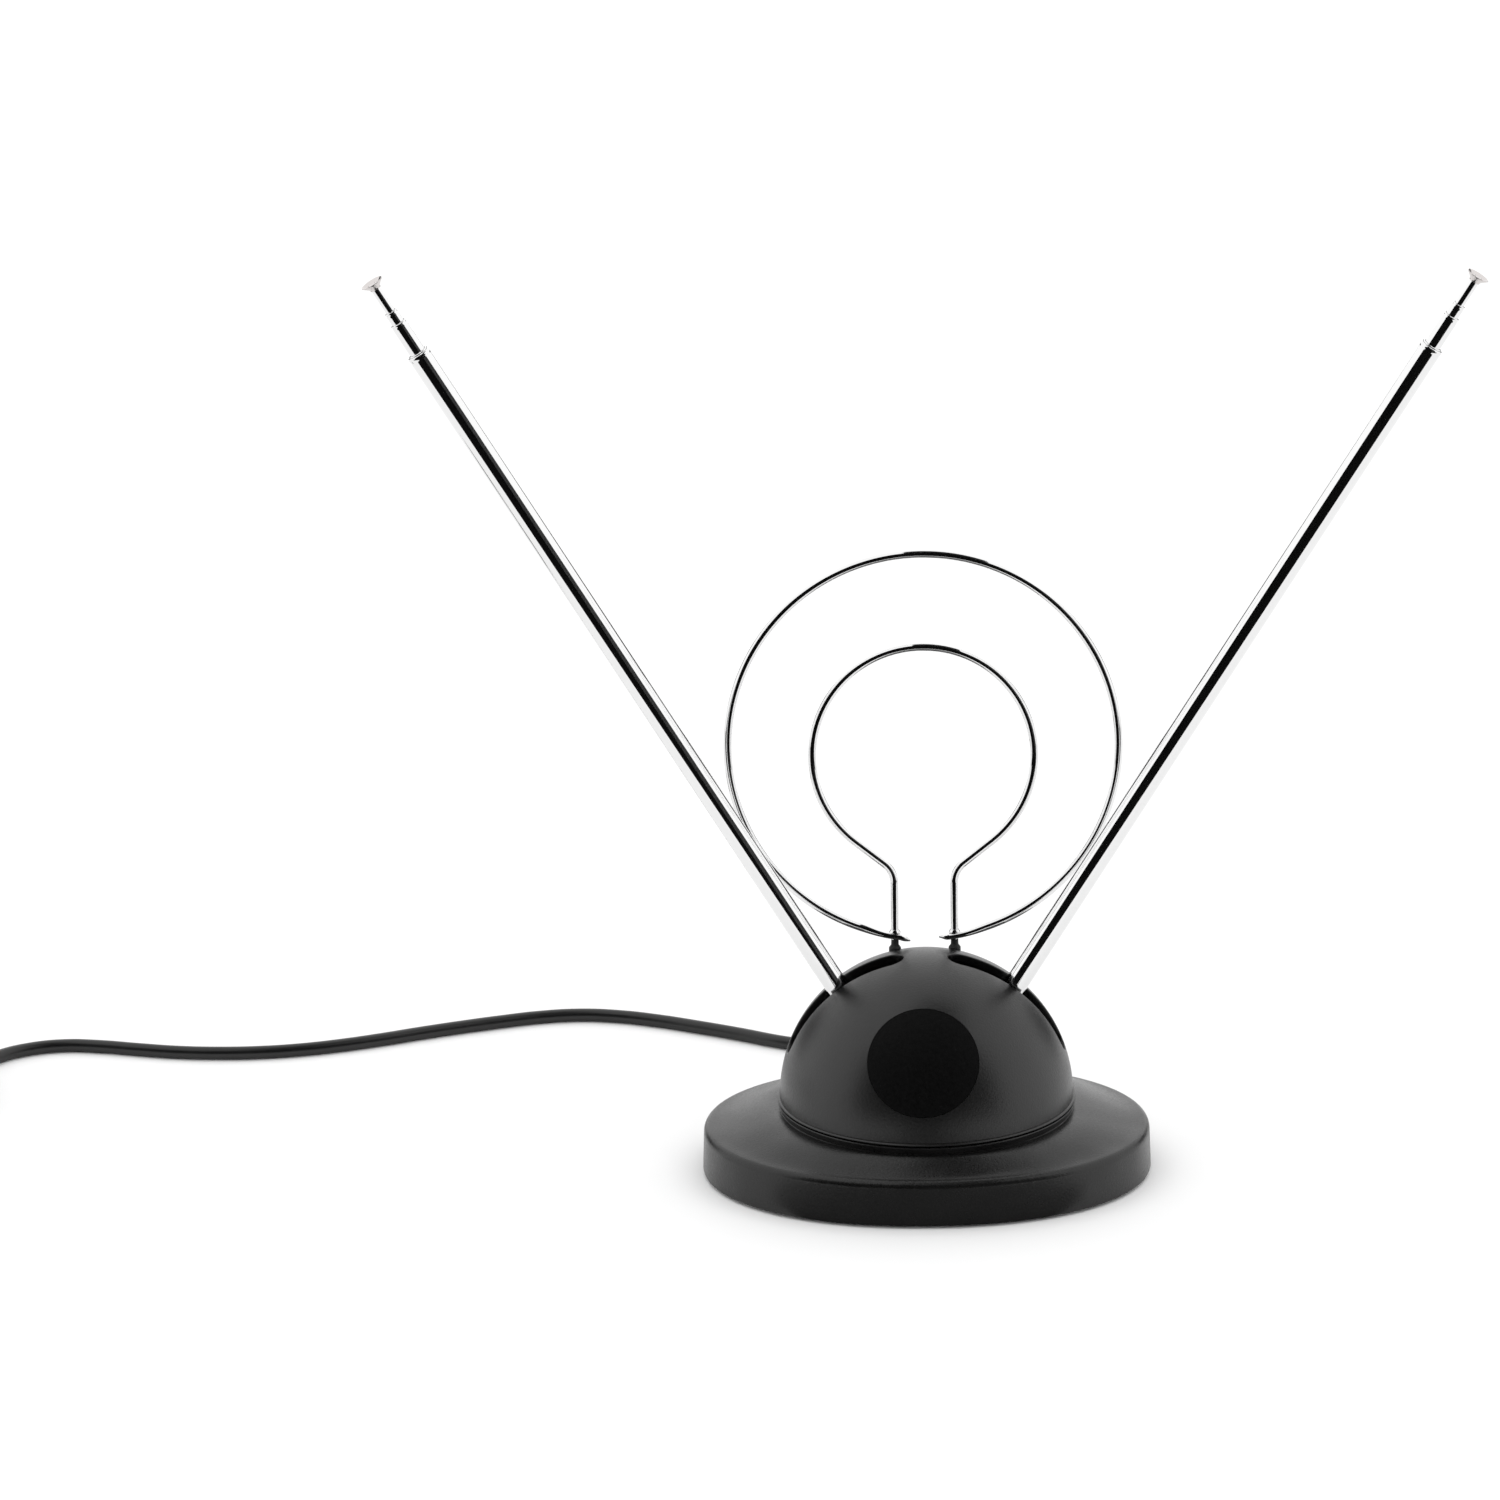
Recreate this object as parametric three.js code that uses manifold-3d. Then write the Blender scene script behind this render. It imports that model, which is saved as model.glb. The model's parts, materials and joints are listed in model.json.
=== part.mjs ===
// Indoor television antenna: two telescopic dipole rods and a double UHF wire loop on a weighted
// oval base, with a coaxial lead. Millimetres, +Z up, +X to the right, +Y to the back.
// The origin is on the table top, under the centre of the base.

import * as THREE from "three";
import { mergeVertices } from "three/addons/utils/BufferGeometryUtils.js";
import Module from "manifold-3d";

const wasm = await Module();
wasm.setup();

// ---------------------------------------------------------------- driving dimensions

const GAP = 0.3; // kept between pieces that touch
const RUNNING = 0.15; // radial clearance of pins, screws and nested tubes

// Base moulding: a superellipse in plan, with a concave top that rises to a round collar.
const BASE_HALF_X = 66.5;
const BASE_HALF_Y = 52.5;
const BASE_POWER = 2.13;
const BASE_LOW = 0.8; // lower edge, held off the table by the feet
const BASE_WALL = 2.4;
const RIM_Z = 14.6;
const RIM_ROUND = 3;
const COLLAR_R = 44.2;
const COLLAR_LOW = 19.5;
const DECK_TOP = 22.4;
const DECK_LOW = 20;
const HOLLOW_R = 41.6; // inside of the collar

// Dome: a hemisphere shell on a short skirt.
const DOME_R = 43.5;
const DOME_INNER_R = 41.3;
const DOME_Z = 23.5; // height of the sphere's centre
const DOME_LOW = DECK_TOP + GAP;
const DOME_SCREW_R = 37.5; // radius of the circle of dome screws

// Slots that the rods swing in, as angles from the vertical at the sphere's centre.
const SLOT_WIDTH = 9.4;
const SLOT_TOP_DEG = 14.4;
const SLOT_LOW_DEG = 66.1;

// Plain round badge on the front of the dome.
const BADGE_R = 16.4;
const BADGE_TILT_DEG = 32.6; // height of its centre above the sphere's equator
const BADGE_TURN_DEG = 2.3; // its centre sits this far to the left of the dome's front
const BADGE_THICK = 0.8;

// Rod pivots and telescopic sections, measured along the rod from the pivot.
const PIVOT_X = 10;
const PIVOT_Z = 31;
const LEFT_LEAN_DEG = 31.4;
const RIGHT_LEAN_DEG = 32;
const TUBE_WALL = 0.35;
const SECTIONS = [
  { name: "tube_7", radius: 3.5, low: 7.9, high: 262 },
  { name: "tube_6", radius: 3, low: 34.4, high: 262.4 },
  { name: "tube_5", radius: 2.5, low: 48.9, high: 272.9 },
  { name: "tube_4", radius: 2, low: 56.9, high: 276.9 },
];
const TIP_ROD = { radius: 1.5, low: 68.9, high: 286 };
const CAP_TOP = 287.1;

// UHF loops: bent wire in one plane that leans back. Heights in the plane start at LOOP_ORIGIN.
const LOOP_ORIGIN = new THREE.Vector3(0, 13.15, 60);
const LOOP_LEAN_DEG = 6.9;
const WIRE_R = 1.25;
const LEG_X = 8.85;
const LEG_LOW = -6;
const DOME_AT_LEG = 4; // where the leg comes out of the dome
const OUTER_LOOP = { radius: 57.8, centre: 65.6 };
const INNER_LOOP = { radius: 32.85, centre: 62.6, bend: 27.8, bendRound: 3.2 };
const EYELET_LOW = DOME_AT_LEG + 3.8;
const EYELET_THICK = 1.2;

// Coaxial lead: exit at the back of the base, then a loose curve over the table to a coil.
const CABLE_R = 2;
const EXIT_Z = 7.4;
const BOOT_END_Y = 75;
const CABLE_ROUTE = [
  [0, BOOT_END_Y + GAP, EXIT_Z],
  [0, 78, EXIT_Z],
  [-0.4, 82.5, 6.8],
  [-2.2, 87, 5],
  [-6, 91, 3.1],
  [-11, 94.2, 2.1],
  [-18, 97.2, 2],
  [-28, 100.8, 2],
  [-41.5, 106, 2],
  [-55, 114, 2],
  [-67.5, 120.8, 2],
  [-80, 127, 2],
  [-92, 131.4, 2],
  [-104, 133.2, 2],
  [-116.5, 131.6, 2],
  [-128.6, 127.8, 2],
  [-141, 123.2, 2],
  [-153, 118.2, 2],
  [-165, 112.8, 2],
  [-177, 108.1, 2],
  [-189, 104.6, 2],
  [-201, 102.7, 2],
  [-213.5, 102.4, 2],
  [-226, 103.6, 2],
  [-238, 106.4, 2],
  [-250, 109.6, 2],
  [-261, 110.8, 2],
  [-271.8, 107.9, 2],
  [-281, 101.2, 2],
  [-287.4, 91, 2],
  [-290.2, 79.6, 2],
];
const COIL = { x: -318, y: 66, meanR: 22, halfWide: 6.3, high: 13 };

// ---------------------------------------------------------------- solids and shapes

/** Geometry reduced to merged positions, without empty triangles, with its faces pointing out. */
function tidy(geometry) {
  const bare = new THREE.BufferGeometry();
  bare.setAttribute("position", geometry.getAttribute("position"));
  bare.setIndex(geometry.index);
  const merged = mergeVertices(bare, 1e-3);
  const points = merged.getAttribute("position");
  const old = merged.index.array;
  const kept = [];
  const [a, b, c] = [new THREE.Vector3(), new THREE.Vector3(), new THREE.Vector3()];
  let volume = 0;
  for (let i = 0; i < old.length; i += 3) {
    const [p, q, r] = [old[i], old[i + 1], old[i + 2]];
    if (p === q || q === r || r === p) {
      continue;
    }
    a.fromBufferAttribute(points, p);
    b.fromBufferAttribute(points, q);
    c.fromBufferAttribute(points, r);
    volume += a.dot(b.cross(c));
    kept.push(p, q, r);
  }
  if (volume < 0) {
    kept.reverse();
  }
  merged.setIndex(kept);
  return merged;
}

/** A manifold solid of one geometry. */
function solid(geometry) {
  const { attributes, index } = tidy(geometry);
  return new wasm.Manifold(new wasm.Mesh({
    numProp: 3,
    vertProperties: new Float32Array(attributes.position.array),
    triVerts: new Uint32Array(index.array),
  }));
}

/** The first geometry, joined with the second list, less the third list. */
function combine(first, joined, cut) {
  let body = solid(first);
  for (const other of joined) {
    body = body.add(solid(other));
  }
  for (const other of cut) {
    body = body.subtract(solid(other));
  }
  return geometryOf(body);
}

/** The geometry of a manifold solid. */
function geometryOf(body) {
  const mesh = body.getMesh();
  const geometry = new THREE.BufferGeometry();
  geometry.setAttribute("position", new THREE.BufferAttribute(mesh.vertProperties, 3));
  geometry.setIndex(new THREE.BufferAttribute(mesh.triVerts, 1));
  return geometry;
}

/** A cylinder along Z. */
function post(radius, low, high, x = 0, y = 0, sides = 16) {
  return new THREE.CylinderGeometry(radius, radius, high - low, sides)
    .rotateX(Math.PI / 2)
    .translate(x, y, (low + high) / 2);
}

/** A cylinder along Y. */
function pinY(radius, low, high, x, z, sides = 16) {
  return new THREE.CylinderGeometry(radius, radius, high - low, sides)
    .translate(x, (low + high) / 2, z);
}

/** A box between two corners. */
function block([x0, y0, z0], [x1, y1, z1]) {
  return new THREE.BoxGeometry(x1 - x0, y1 - y0, z1 - z0)
    .translate((x0 + x1) / 2, (y0 + y1) / 2, (z0 + z1) / 2);
}

/** A body of revolution about Z from [radius, height] pairs. */
function turned(profile, sides = 16) {
  const points = profile.map(([r, h]) => new THREE.Vector2(r, h));
  return new THREE.LatheGeometry(points, sides).rotateX(Math.PI / 2);
}

/** A tube about Z with square-cut ends. */
function sleeve(outer, inner, low, high, sides = 16) {
  return turned([[inner, low], [outer, low], [outer, high], [inner, high], [inner, low]], sides);
}

/** An outline in X and Z, given as a Shape in x and y, made thick between two values of y. */
function plateXZ(outline, low, high, curveSegments = 5) {
  return new THREE.ExtrudeGeometry(outline, { depth: high - low, bevelEnabled: false, curveSegments })
    .rotateX(Math.PI / 2)
    .translate(0, high, 0);
}

/** A round wire along a list of [x, y, z] points. */
function wire(points, radius, sides, steps) {
  const section = new THREE.Shape();
  for (let i = 0; i < sides; i += 1) {
    const angle = (2 * Math.PI * (i + 0.5)) / sides;
    section[i ? "lineTo" : "moveTo"](radius * Math.cos(angle), radius * Math.sin(angle));
  }
  const path = new THREE.CatmullRomCurve3(points.map((p) => new THREE.Vector3(...p)), false, "centripetal");
  return new THREE.ExtrudeGeometry(section, { steps, extrudePath: path, bevelEnabled: false });
}

/** A closed body through rings of [x, y, z] points, with flat ends. */
function loft(rings) {
  const count = rings[0].length;
  const positions = rings.flat(2);
  const faces = [];
  for (let k = 0; k + 1 < rings.length; k += 1) {
    for (let i = 0; i < count; i += 1) {
      const j = (i + 1) % count;
      const [a, b] = [k * count + i, k * count + j];
      faces.push(a, b, b + count, a, b + count, a + count);
    }
  }
  const ends = [[0, 0], [rings.length - 1, 1]];
  for (const [k, top] of ends) {
    const centre = positions.length / 3;
    positions.push(0, 0, rings[k][0][2]);
    for (let i = 0; i < count; i += 1) {
      const [a, b] = [k * count + i, k * count + ((i + 1) % count)];
      faces.push(centre, ...(top ? [a, b] : [b, a]));
    }
  }
  const geometry = new THREE.BufferGeometry();
  geometry.setAttribute("position", new THREE.Float32BufferAttribute(positions, 3));
  geometry.setIndex(faces);
  return geometry;
}

const RING_POINTS = 40;

/** One ring of the base: the oval, drawn in by inset, moved towards a circle by share. */
function baseRing(z, inset, share = 0, radius = 0) {
  const ring = [];
  for (let i = 0; i < RING_POINTS; i += 1) {
    const angle = (2 * Math.PI * i) / RING_POINTS;
    const [c, s] = [Math.cos(angle), Math.sin(angle)];
    const power = 2 / BASE_POWER;
    const x = (BASE_HALF_X - inset) * Math.sign(c) * Math.abs(c) ** power;
    const y = (BASE_HALF_Y - inset) * Math.sign(s) * Math.abs(s) ** power;
    ring.push([x + (radius * c - x) * share, y + (radius * s - y) * share, z]);
  }
  return ring;
}

/** Rings of the concave slope between the rim and the collar, as an S-shaped rise. */
function slopeRings(lowZ, highZ, inset, radius, steps) {
  const rings = [];
  for (let i = 1; i <= steps; i += 1) {
    const u = i / steps;
    rings.push(baseRing(lowZ + (highZ - lowZ) * u * u * (3 - 2 * u), inset, u, radius));
  }
  return rings;
}

/** Flat oval plate between two heights. */
function ovalPlate(low, high, inset) {
  return loft([baseRing(low, inset), baseRing(high, inset)]);
}

// ---------------------------------------------------------------- materials and nodes

const FINISH = {
  satinBlack: { color: 0x1d1c1e, roughness: 0.5, metalness: 0 },
  deepBlack: { color: 0x0c0c0d, roughness: 0.75, metalness: 0 },
  rubber: { color: 0x161616, roughness: 0.85, metalness: 0 },
  cableJacket: { color: 0x151516, roughness: 0.45, metalness: 0 },
  chrome: { color: 0xe6e8ea, roughness: 0.08, metalness: 1 },
  zinc: { color: 0xb9bcc0, roughness: 0.35, metalness: 1 },
  brass: { color: 0xc9a55c, roughness: 0.3, metalness: 1 },
  castIron: { color: 0x4a4a4c, roughness: 0.7, metalness: 0.8 },
  board: { color: 0xa8814a, roughness: 0.6, metalness: 0 },
  ferrite: { color: 0x303033, roughness: 0.6, metalness: 0.1 },
  wireRed: { color: 0x9a2320, roughness: 0.5, metalness: 0 },
};

const antenna = new THREE.Group();

/** Adds one named node. */
function node(name, geometry, finish, parent = antenna) {
  const mesh = new THREE.Mesh(tidy(geometry), new THREE.MeshStandardMaterial(FINISH[finish]));
  mesh.name = name;
  parent.add(mesh);
  return mesh;
}

// ---------------------------------------------------------------- screws

const SCREW = { shank: 1.25, head: 2.8, headHigh: 1.9, hole: 1.4, through: 1.7 };

/** A pan-head screw about Z: its head sits on z = 0 and its shank goes down. */
function panScrew(length, headHigh = SCREW.headHigh) {
  const { shank, head } = SCREW;
  return turned([
    [0, -length],
    [shank, -length],
    [shank, 0],
    [head, 0],
    [head * 0.7, headHigh],
    [0, headHigh],
  ], 8);
}

// ---------------------------------------------------------------- base

const BOTTOM = { low: BASE_LOW, high: 3.2, inset: BASE_WALL + GAP };
const BALLAST = { halfX: 45, halfY: 33, y: -3, low: 3.5, high: 8.5 };
const PEG = { x: 25, radius: 2.5, high: 9.3 };
const FEET = [[-36, -33], [36, -33], [-36, 33], [36, 33]];
const FOOT = { radius: 6.2, high: 1.5 };
const BOTTOM_SCREWS = [[-50, -18], [50, -18], [-50, 18], [50, 18]];
const BOTTOM_SCREW_Z = 1.9; // underside of the head, which is sunk in the plate
const DOME_SCREW_DEG = [90, 210, 330];
const CLEVIS_SCREW_X = 20;
const LEAD_HOLE_Y = 20;
const LEAD_HOLE_R = 5;
const NECK_R = 3.3; // the boot's neck where it goes through the wall

const domeScrews = DOME_SCREW_DEG.map((deg) => {
  const angle = THREE.MathUtils.degToRad(deg);
  return [DOME_SCREW_R * Math.cos(angle), DOME_SCREW_R * Math.sin(angle)];
});

function baseShell() {
  const roundedRim = [45, 90].map((deg) => {
    const angle = THREE.MathUtils.degToRad(deg);
    const inset = 0.35 + RIM_ROUND * (1 - Math.cos(angle));
    return baseRing(RIM_Z - RIM_ROUND * (1 - Math.sin(angle)), inset);
  });
  const outside = loft([
    baseRing(BASE_LOW, 0.5),
    baseRing(BASE_LOW + 0.6, 0),
    baseRing(RIM_Z - RIM_ROUND, 0.35),
    ...roundedRim,
    ...slopeRings(RIM_Z, COLLAR_LOW, 0.35 + RIM_ROUND, COLLAR_R, 4),
    baseRing(DECK_TOP, 0, 1, COLLAR_R),
  ]);
  const hollow = loft([
    baseRing(BASE_LOW - 2, BASE_WALL),
    baseRing(11.2, BASE_WALL + 0.2),
    baseRing(12.3, BASE_WALL + 2.2),
    ...slopeRings(12.3, 17.4, BASE_WALL + 2.2, HOLLOW_R, 3),
    baseRing(DECK_LOW, 0, 1, HOLLOW_R),
  ]);
  const bosses = [
    ...BOTTOM_SCREWS.map(([x, y]) => post(4, BOTTOM.high + GAP, 14, x, y, 10)),
    post(3.2, 15, DECK_LOW + 1, -CLEVIS_SCREW_X, 0, 10),
    post(3.2, 15, DECK_LOW + 1, CLEVIS_SCREW_X, 0, 10),
  ];
  const holes = [
    ...BOTTOM_SCREWS.map(([x, y]) => post(SCREW.hole, 1, 11, x, y, 8)),
    ...domeScrews.map(([x, y]) => post(SCREW.through, 18, 24, x, y, 8)),
    post(SCREW.hole, 14, 24, -CLEVIS_SCREW_X, 0, 10),
    post(SCREW.hole, 14, 24, CLEVIS_SCREW_X, 0, 10),
    post(LEAD_HOLE_R, 18, 24, 0, LEAD_HOLE_Y),
    pinY(NECK_R + GAP, BASE_HALF_Y - 6, BASE_HALF_Y + 2, 0, EXIT_Z),
  ];
  return geometryOf(solid(outside)
    .subtract(solid(hollow))
    .add(wasm.Manifold.union(bosses.map(solid)))
    .subtract(wasm.Manifold.union(holes.map(solid))));
}

function bottomPlate() {
  const plate = ovalPlate(BOTTOM.low, BOTTOM.high, BOTTOM.inset);
  const pegs = [-PEG.x, PEG.x].map((x) => post(PEG.radius, 2, PEG.high, x, BALLAST.y, 12));
  const holes = [
    ...FEET.map(([x, y]) => post(FOOT.radius + GAP, 0, FOOT.high + GAP, x, y, 14)),
    ...BOTTOM_SCREWS.map(([x, y]) => post(SCREW.head + GAP, 0, BOTTOM_SCREW_Z + GAP, x, y, 10)),
    ...BOTTOM_SCREWS.map(([x, y]) => post(SCREW.through, 0, 4, x, y, 8)),
  ];
  return combine(plate, pegs, holes);
}

function ballastPlate() {
  const { halfX, halfY, y, low, high } = BALLAST;
  const plate = post(1, low, high, 0, 0, 28).scale(halfX, halfY, 1).translate(0, y, 0);
  const holes = [-PEG.x, PEG.x].map((x) => post(PEG.radius + GAP, 0, 12, x, y, 12));
  return combine(plate, [], holes);
}

node("base_shell", baseShell(), "satinBlack");
node("bottom_plate", bottomPlate(), "deepBlack");
node("ballast_plate", ballastPlate(), "castIron");
const CORNERS = ["front_left", "front_right", "rear_left", "rear_right"];
CORNERS.forEach((corner, i) => {
  const [footX, footY] = FEET[i];
  const foot = turned([[0, 0], [FOOT.radius - 0.5, 0], [FOOT.radius, 0.5],
    [FOOT.radius, FOOT.high], [0, FOOT.high]], 14);
  node(`foot_${corner}`, foot.translate(footX, footY, 0), "rubber");
  const [screwX, screwY] = BOTTOM_SCREWS[i];
  const screw = panScrew(8, 0.9).rotateX(Math.PI).translate(screwX, screwY, BOTTOM_SCREW_Z);
  node(`bottom_screw_${corner}`, screw, "zinc");
});

// ---------------------------------------------------------------- dome and badge

/** The direction from the sphere's centre to the middle of the badge. */
const badgeTilt = THREE.MathUtils.degToRad(BADGE_TILT_DEG);

/** A cylinder along the badge's axis, out from the sphere's centre. */
function badgeCore(radius) {
  const turn = THREE.MathUtils.degToRad(BADGE_TURN_DEG);
  const core = post(radius, 30, 50, 0, 0, 28).rotateX(Math.PI / 2 - badgeTilt);
  return core.rotateZ(-turn).translate(0, 0, DOME_Z);
}

/** A ball about the sphere's centre. */
function ball(radius, around = 36, high = 18) {
  return new THREE.SphereGeometry(radius, around, high).rotateX(Math.PI / 2).translate(0, 0, DOME_Z);
}

/** The space that one rod sweeps through the shell, on the side of sign. */
function slotSpace(sign) {
  const reach = 60;
  const at = (deg) => {
    const angle = THREE.MathUtils.degToRad(deg);
    return [sign * reach * Math.sin(angle), DOME_Z + reach * Math.cos(angle)];
  };
  const wedge = new THREE.Shape([
    new THREE.Vector2(0, DOME_Z),
    ...[SLOT_TOP_DEG, 40, SLOT_LOW_DEG].map((deg) => new THREE.Vector2(...at(deg))),
  ]);
  const ends = [SLOT_TOP_DEG, SLOT_LOW_DEG].map((deg) => post(SLOT_WIDTH / 2, 25, reach, 0, 0, 16)
    .rotateY(THREE.MathUtils.degToRad(sign * deg))
    .translate(0, 0, DOME_Z));
  return [plateXZ(wedge, -SLOT_WIDTH / 2, SLOT_WIDTH / 2), ...ends];
}

/** A straight piece about a loop's leg, given in the loops' own plane. */
function aroundLeg(geometry, sign) {
  return geometry
    .translate(sign * LEG_X, 0, 0)
    .rotateX(-THREE.MathUtils.degToRad(LOOP_LEAN_DEG))
    .translate(...LOOP_ORIGIN.toArray());
}

const GROMMET = { neck: 2.6, flange: 3.8, flangeLow: -2.6, flangeHigh: -1.2 };

function domeShell() {
  const skirt = post(DOME_R, DOME_LOW, DOME_Z + 0.01, 0, 0, 36);
  const belowRim = block([-60, -60, -30], [60, 60, DOME_LOW]);
  const whole = solid(ball(DOME_R)).subtract(solid(block([-60, -60, -30], [60, 60, DOME_Z])));
  const bosses = domeScrews.map(([x, y]) => solid(post(3.4, DOME_LOW, 37, x, y, 10)));
  const hollow = wasm.Manifold.union([
    solid(ball(DOME_INNER_R, 28, 14)),
    solid(post(DOME_INNER_R, 0, DOME_Z, 0, 0, 36)),
  ]);
  const recess = solid(badgeCore(BADGE_R + GAP)).subtract(solid(ball(DOME_R - BADGE_THICK - GAP)));
  const shell = whole.add(solid(skirt)).subtract(hollow);
  const inside = wasm.Manifold.union(bosses).intersect(solid(ball(DOME_R - 0.6)));
  const cuts = [
    ...[-1, 1].flatMap(slotSpace),
    ...[-1, 1].map((sign) => aroundLeg(post(GROMMET.neck + GAP, -8, 12, 0, 0, 12), sign)),
    ...domeScrews.map(([x, y]) => post(SCREW.hole, 20, 32, x, y, 8)),
  ].map(solid);
  return geometryOf(shell.add(inside).subtract(solid(belowRim)).subtract(recess)
    .subtract(wasm.Manifold.union(cuts)));
}

function badge() {
  const disc = solid(badgeCore(BADGE_R)).intersect(solid(ball(DOME_R)));
  return geometryOf(disc.subtract(solid(ball(DOME_R - BADGE_THICK))));
}

node("dome_shell", domeShell(), "satinBlack");
node("badge", badge(), "deepBlack");
domeScrews.forEach(([x, y], i) => {
  const screw = panScrew(11).rotateX(Math.PI).translate(x, y, DECK_LOW - GAP);
  node(`dome_screw_${i + 1}`, screw, "zinc");
});

// ---------------------------------------------------------------- chassis and balun

const CHASSIS = { low: DECK_TOP + GAP, high: DECK_TOP + GAP + 2 };
const BOARD = { halfX: 16, low: 12.5, high: 14.1, bottom: 25.2, top: 47 };

function pivotChassis() {
  const plate = block([-26, -11, CHASSIS.low], [26, 25, CHASSIS.high]);
  const posts = [-1, 1].map((sign) => block(
    [Math.min(sign * 14.5, sign * 19), 10.8, CHASSIS.high - 0.5],
    [Math.max(sign * 14.5, sign * 19), 15.8, 34],
  ));
  const cuts = [
    block(
      [-BOARD.halfX - GAP, BOARD.low - GAP, CHASSIS.high],
      [BOARD.halfX + GAP, BOARD.high + GAP, 50],
    ),
    post(LEAD_HOLE_R, 20, 30, 0, LEAD_HOLE_Y),
    post(SCREW.through, 20, 30, -CLEVIS_SCREW_X, 0, 10),
    post(SCREW.through, 20, 30, CLEVIS_SCREW_X, 0, 10),
  ];
  return combine(plate, posts, cuts);
}

node("pivot_chassis", pivotChassis(), "deepBlack");
node("balun_board", block(
  [-BOARD.halfX, BOARD.low, BOARD.bottom],
  [BOARD.halfX, BOARD.high, BOARD.top],
), "board");
node("ferrite_core", sleeve(6, 3, -2.5, 2.5).rotateX(Math.PI / 2)
  .translate(0, BOARD.high + GAP + 2.5, 40), "ferrite");

// ---------------------------------------------------------------- pivots and rods

const CLEVIS = { low: CHASSIS.high + GAP, thick: 1.2, gapHalf: 2.3, eye: 4.2 };
const KNUCKLE = { eye: 4, halfThick: 2, shoulderLow: 6.2, shoulderHigh: 7.6, spigotHigh: 19 };
const PIN_R = 1.5;

/** The bent metal bracket that carries one rod, on the side of sign. */
function clevis(sign) {
  const { low, thick, gapHalf, eye } = CLEVIS;
  const outside = gapHalf + thick;
  const [x0, x1] = [PIVOT_X - eye, CLEVIS_SCREW_X + 3.6].map((x) => sign * x).sort((a, b) => a - b);
  const foot = block([x0, -outside, low], [x1, outside, low + thick]);
  const tag = block([sign * 11 - 2, outside - 0.5, low], [sign * 11 + 2, 8, low + thick]);
  const ear = new THREE.Shape();
  ear.moveTo(sign * PIVOT_X + eye, low);
  ear.lineTo(sign * PIVOT_X + eye, PIVOT_Z);
  ear.absarc(sign * PIVOT_X, PIVOT_Z, eye, 0, Math.PI);
  ear.lineTo(sign * PIVOT_X - eye, low);
  const ears = [plateXZ(ear, -outside, -gapHalf), plateXZ(ear, gapHalf, outside)];
  const holes = [
    pinY(PIN_R + RUNNING, -6, 6, sign * PIVOT_X, PIVOT_Z, 12),
    post(SCREW.through, 20, 30, sign * CLEVIS_SCREW_X, 0, 10),
  ];
  return combine(foot, [tag, ...ears], holes);
}

/** The rod's foot: a flat eye on the pivot pin, a shoulder, and a spigot inside the tube. */
function knuckle() {
  const outline = new THREE.Shape();
  outline.moveTo(2.8, 0);
  outline.lineTo(2.8, KNUCKLE.shoulderLow + 0.4);
  outline.lineTo(-2.8, KNUCKLE.shoulderLow + 0.4);
  outline.lineTo(-2.8, 0);
  const eye = pinY(KNUCKLE.eye, -KNUCKLE.halfThick, KNUCKLE.halfThick, 0, 0, 16);
  const neck = plateXZ(outline, -KNUCKLE.halfThick, KNUCKLE.halfThick);
  const spigotR = SECTIONS[0].radius - TUBE_WALL - RUNNING;
  const shoulder = post(SECTIONS[0].radius, KNUCKLE.shoulderLow, KNUCKLE.shoulderHigh, 0, 0, 16);
  const spigot = post(spigotR, KNUCKLE.shoulderLow, KNUCKLE.spigotHigh, 0, 0, 16);
  return combine(eye, [neck, shoulder, spigot], [pinY(PIN_R + RUNNING, -5, 5, 0, 0, 12)]);
}

/** The button on the rod's end, with a socket for the rod and a dished top. */
function tipCap() {
  const socket = TIP_ROD.radius + RUNNING;
  const low = TIP_ROD.high - 1.1;
  return turned([
    [0, TIP_ROD.high + 0.2],
    [socket, TIP_ROD.high + 0.2],
    [socket, low],
    [2.1, low],
    [3.3, low + 1.1],
    [3.5, low + 1.7],
    [3.1, CAP_TOP],
    [0, CAP_TOP - 0.4],
  ], 14);
}

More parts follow.
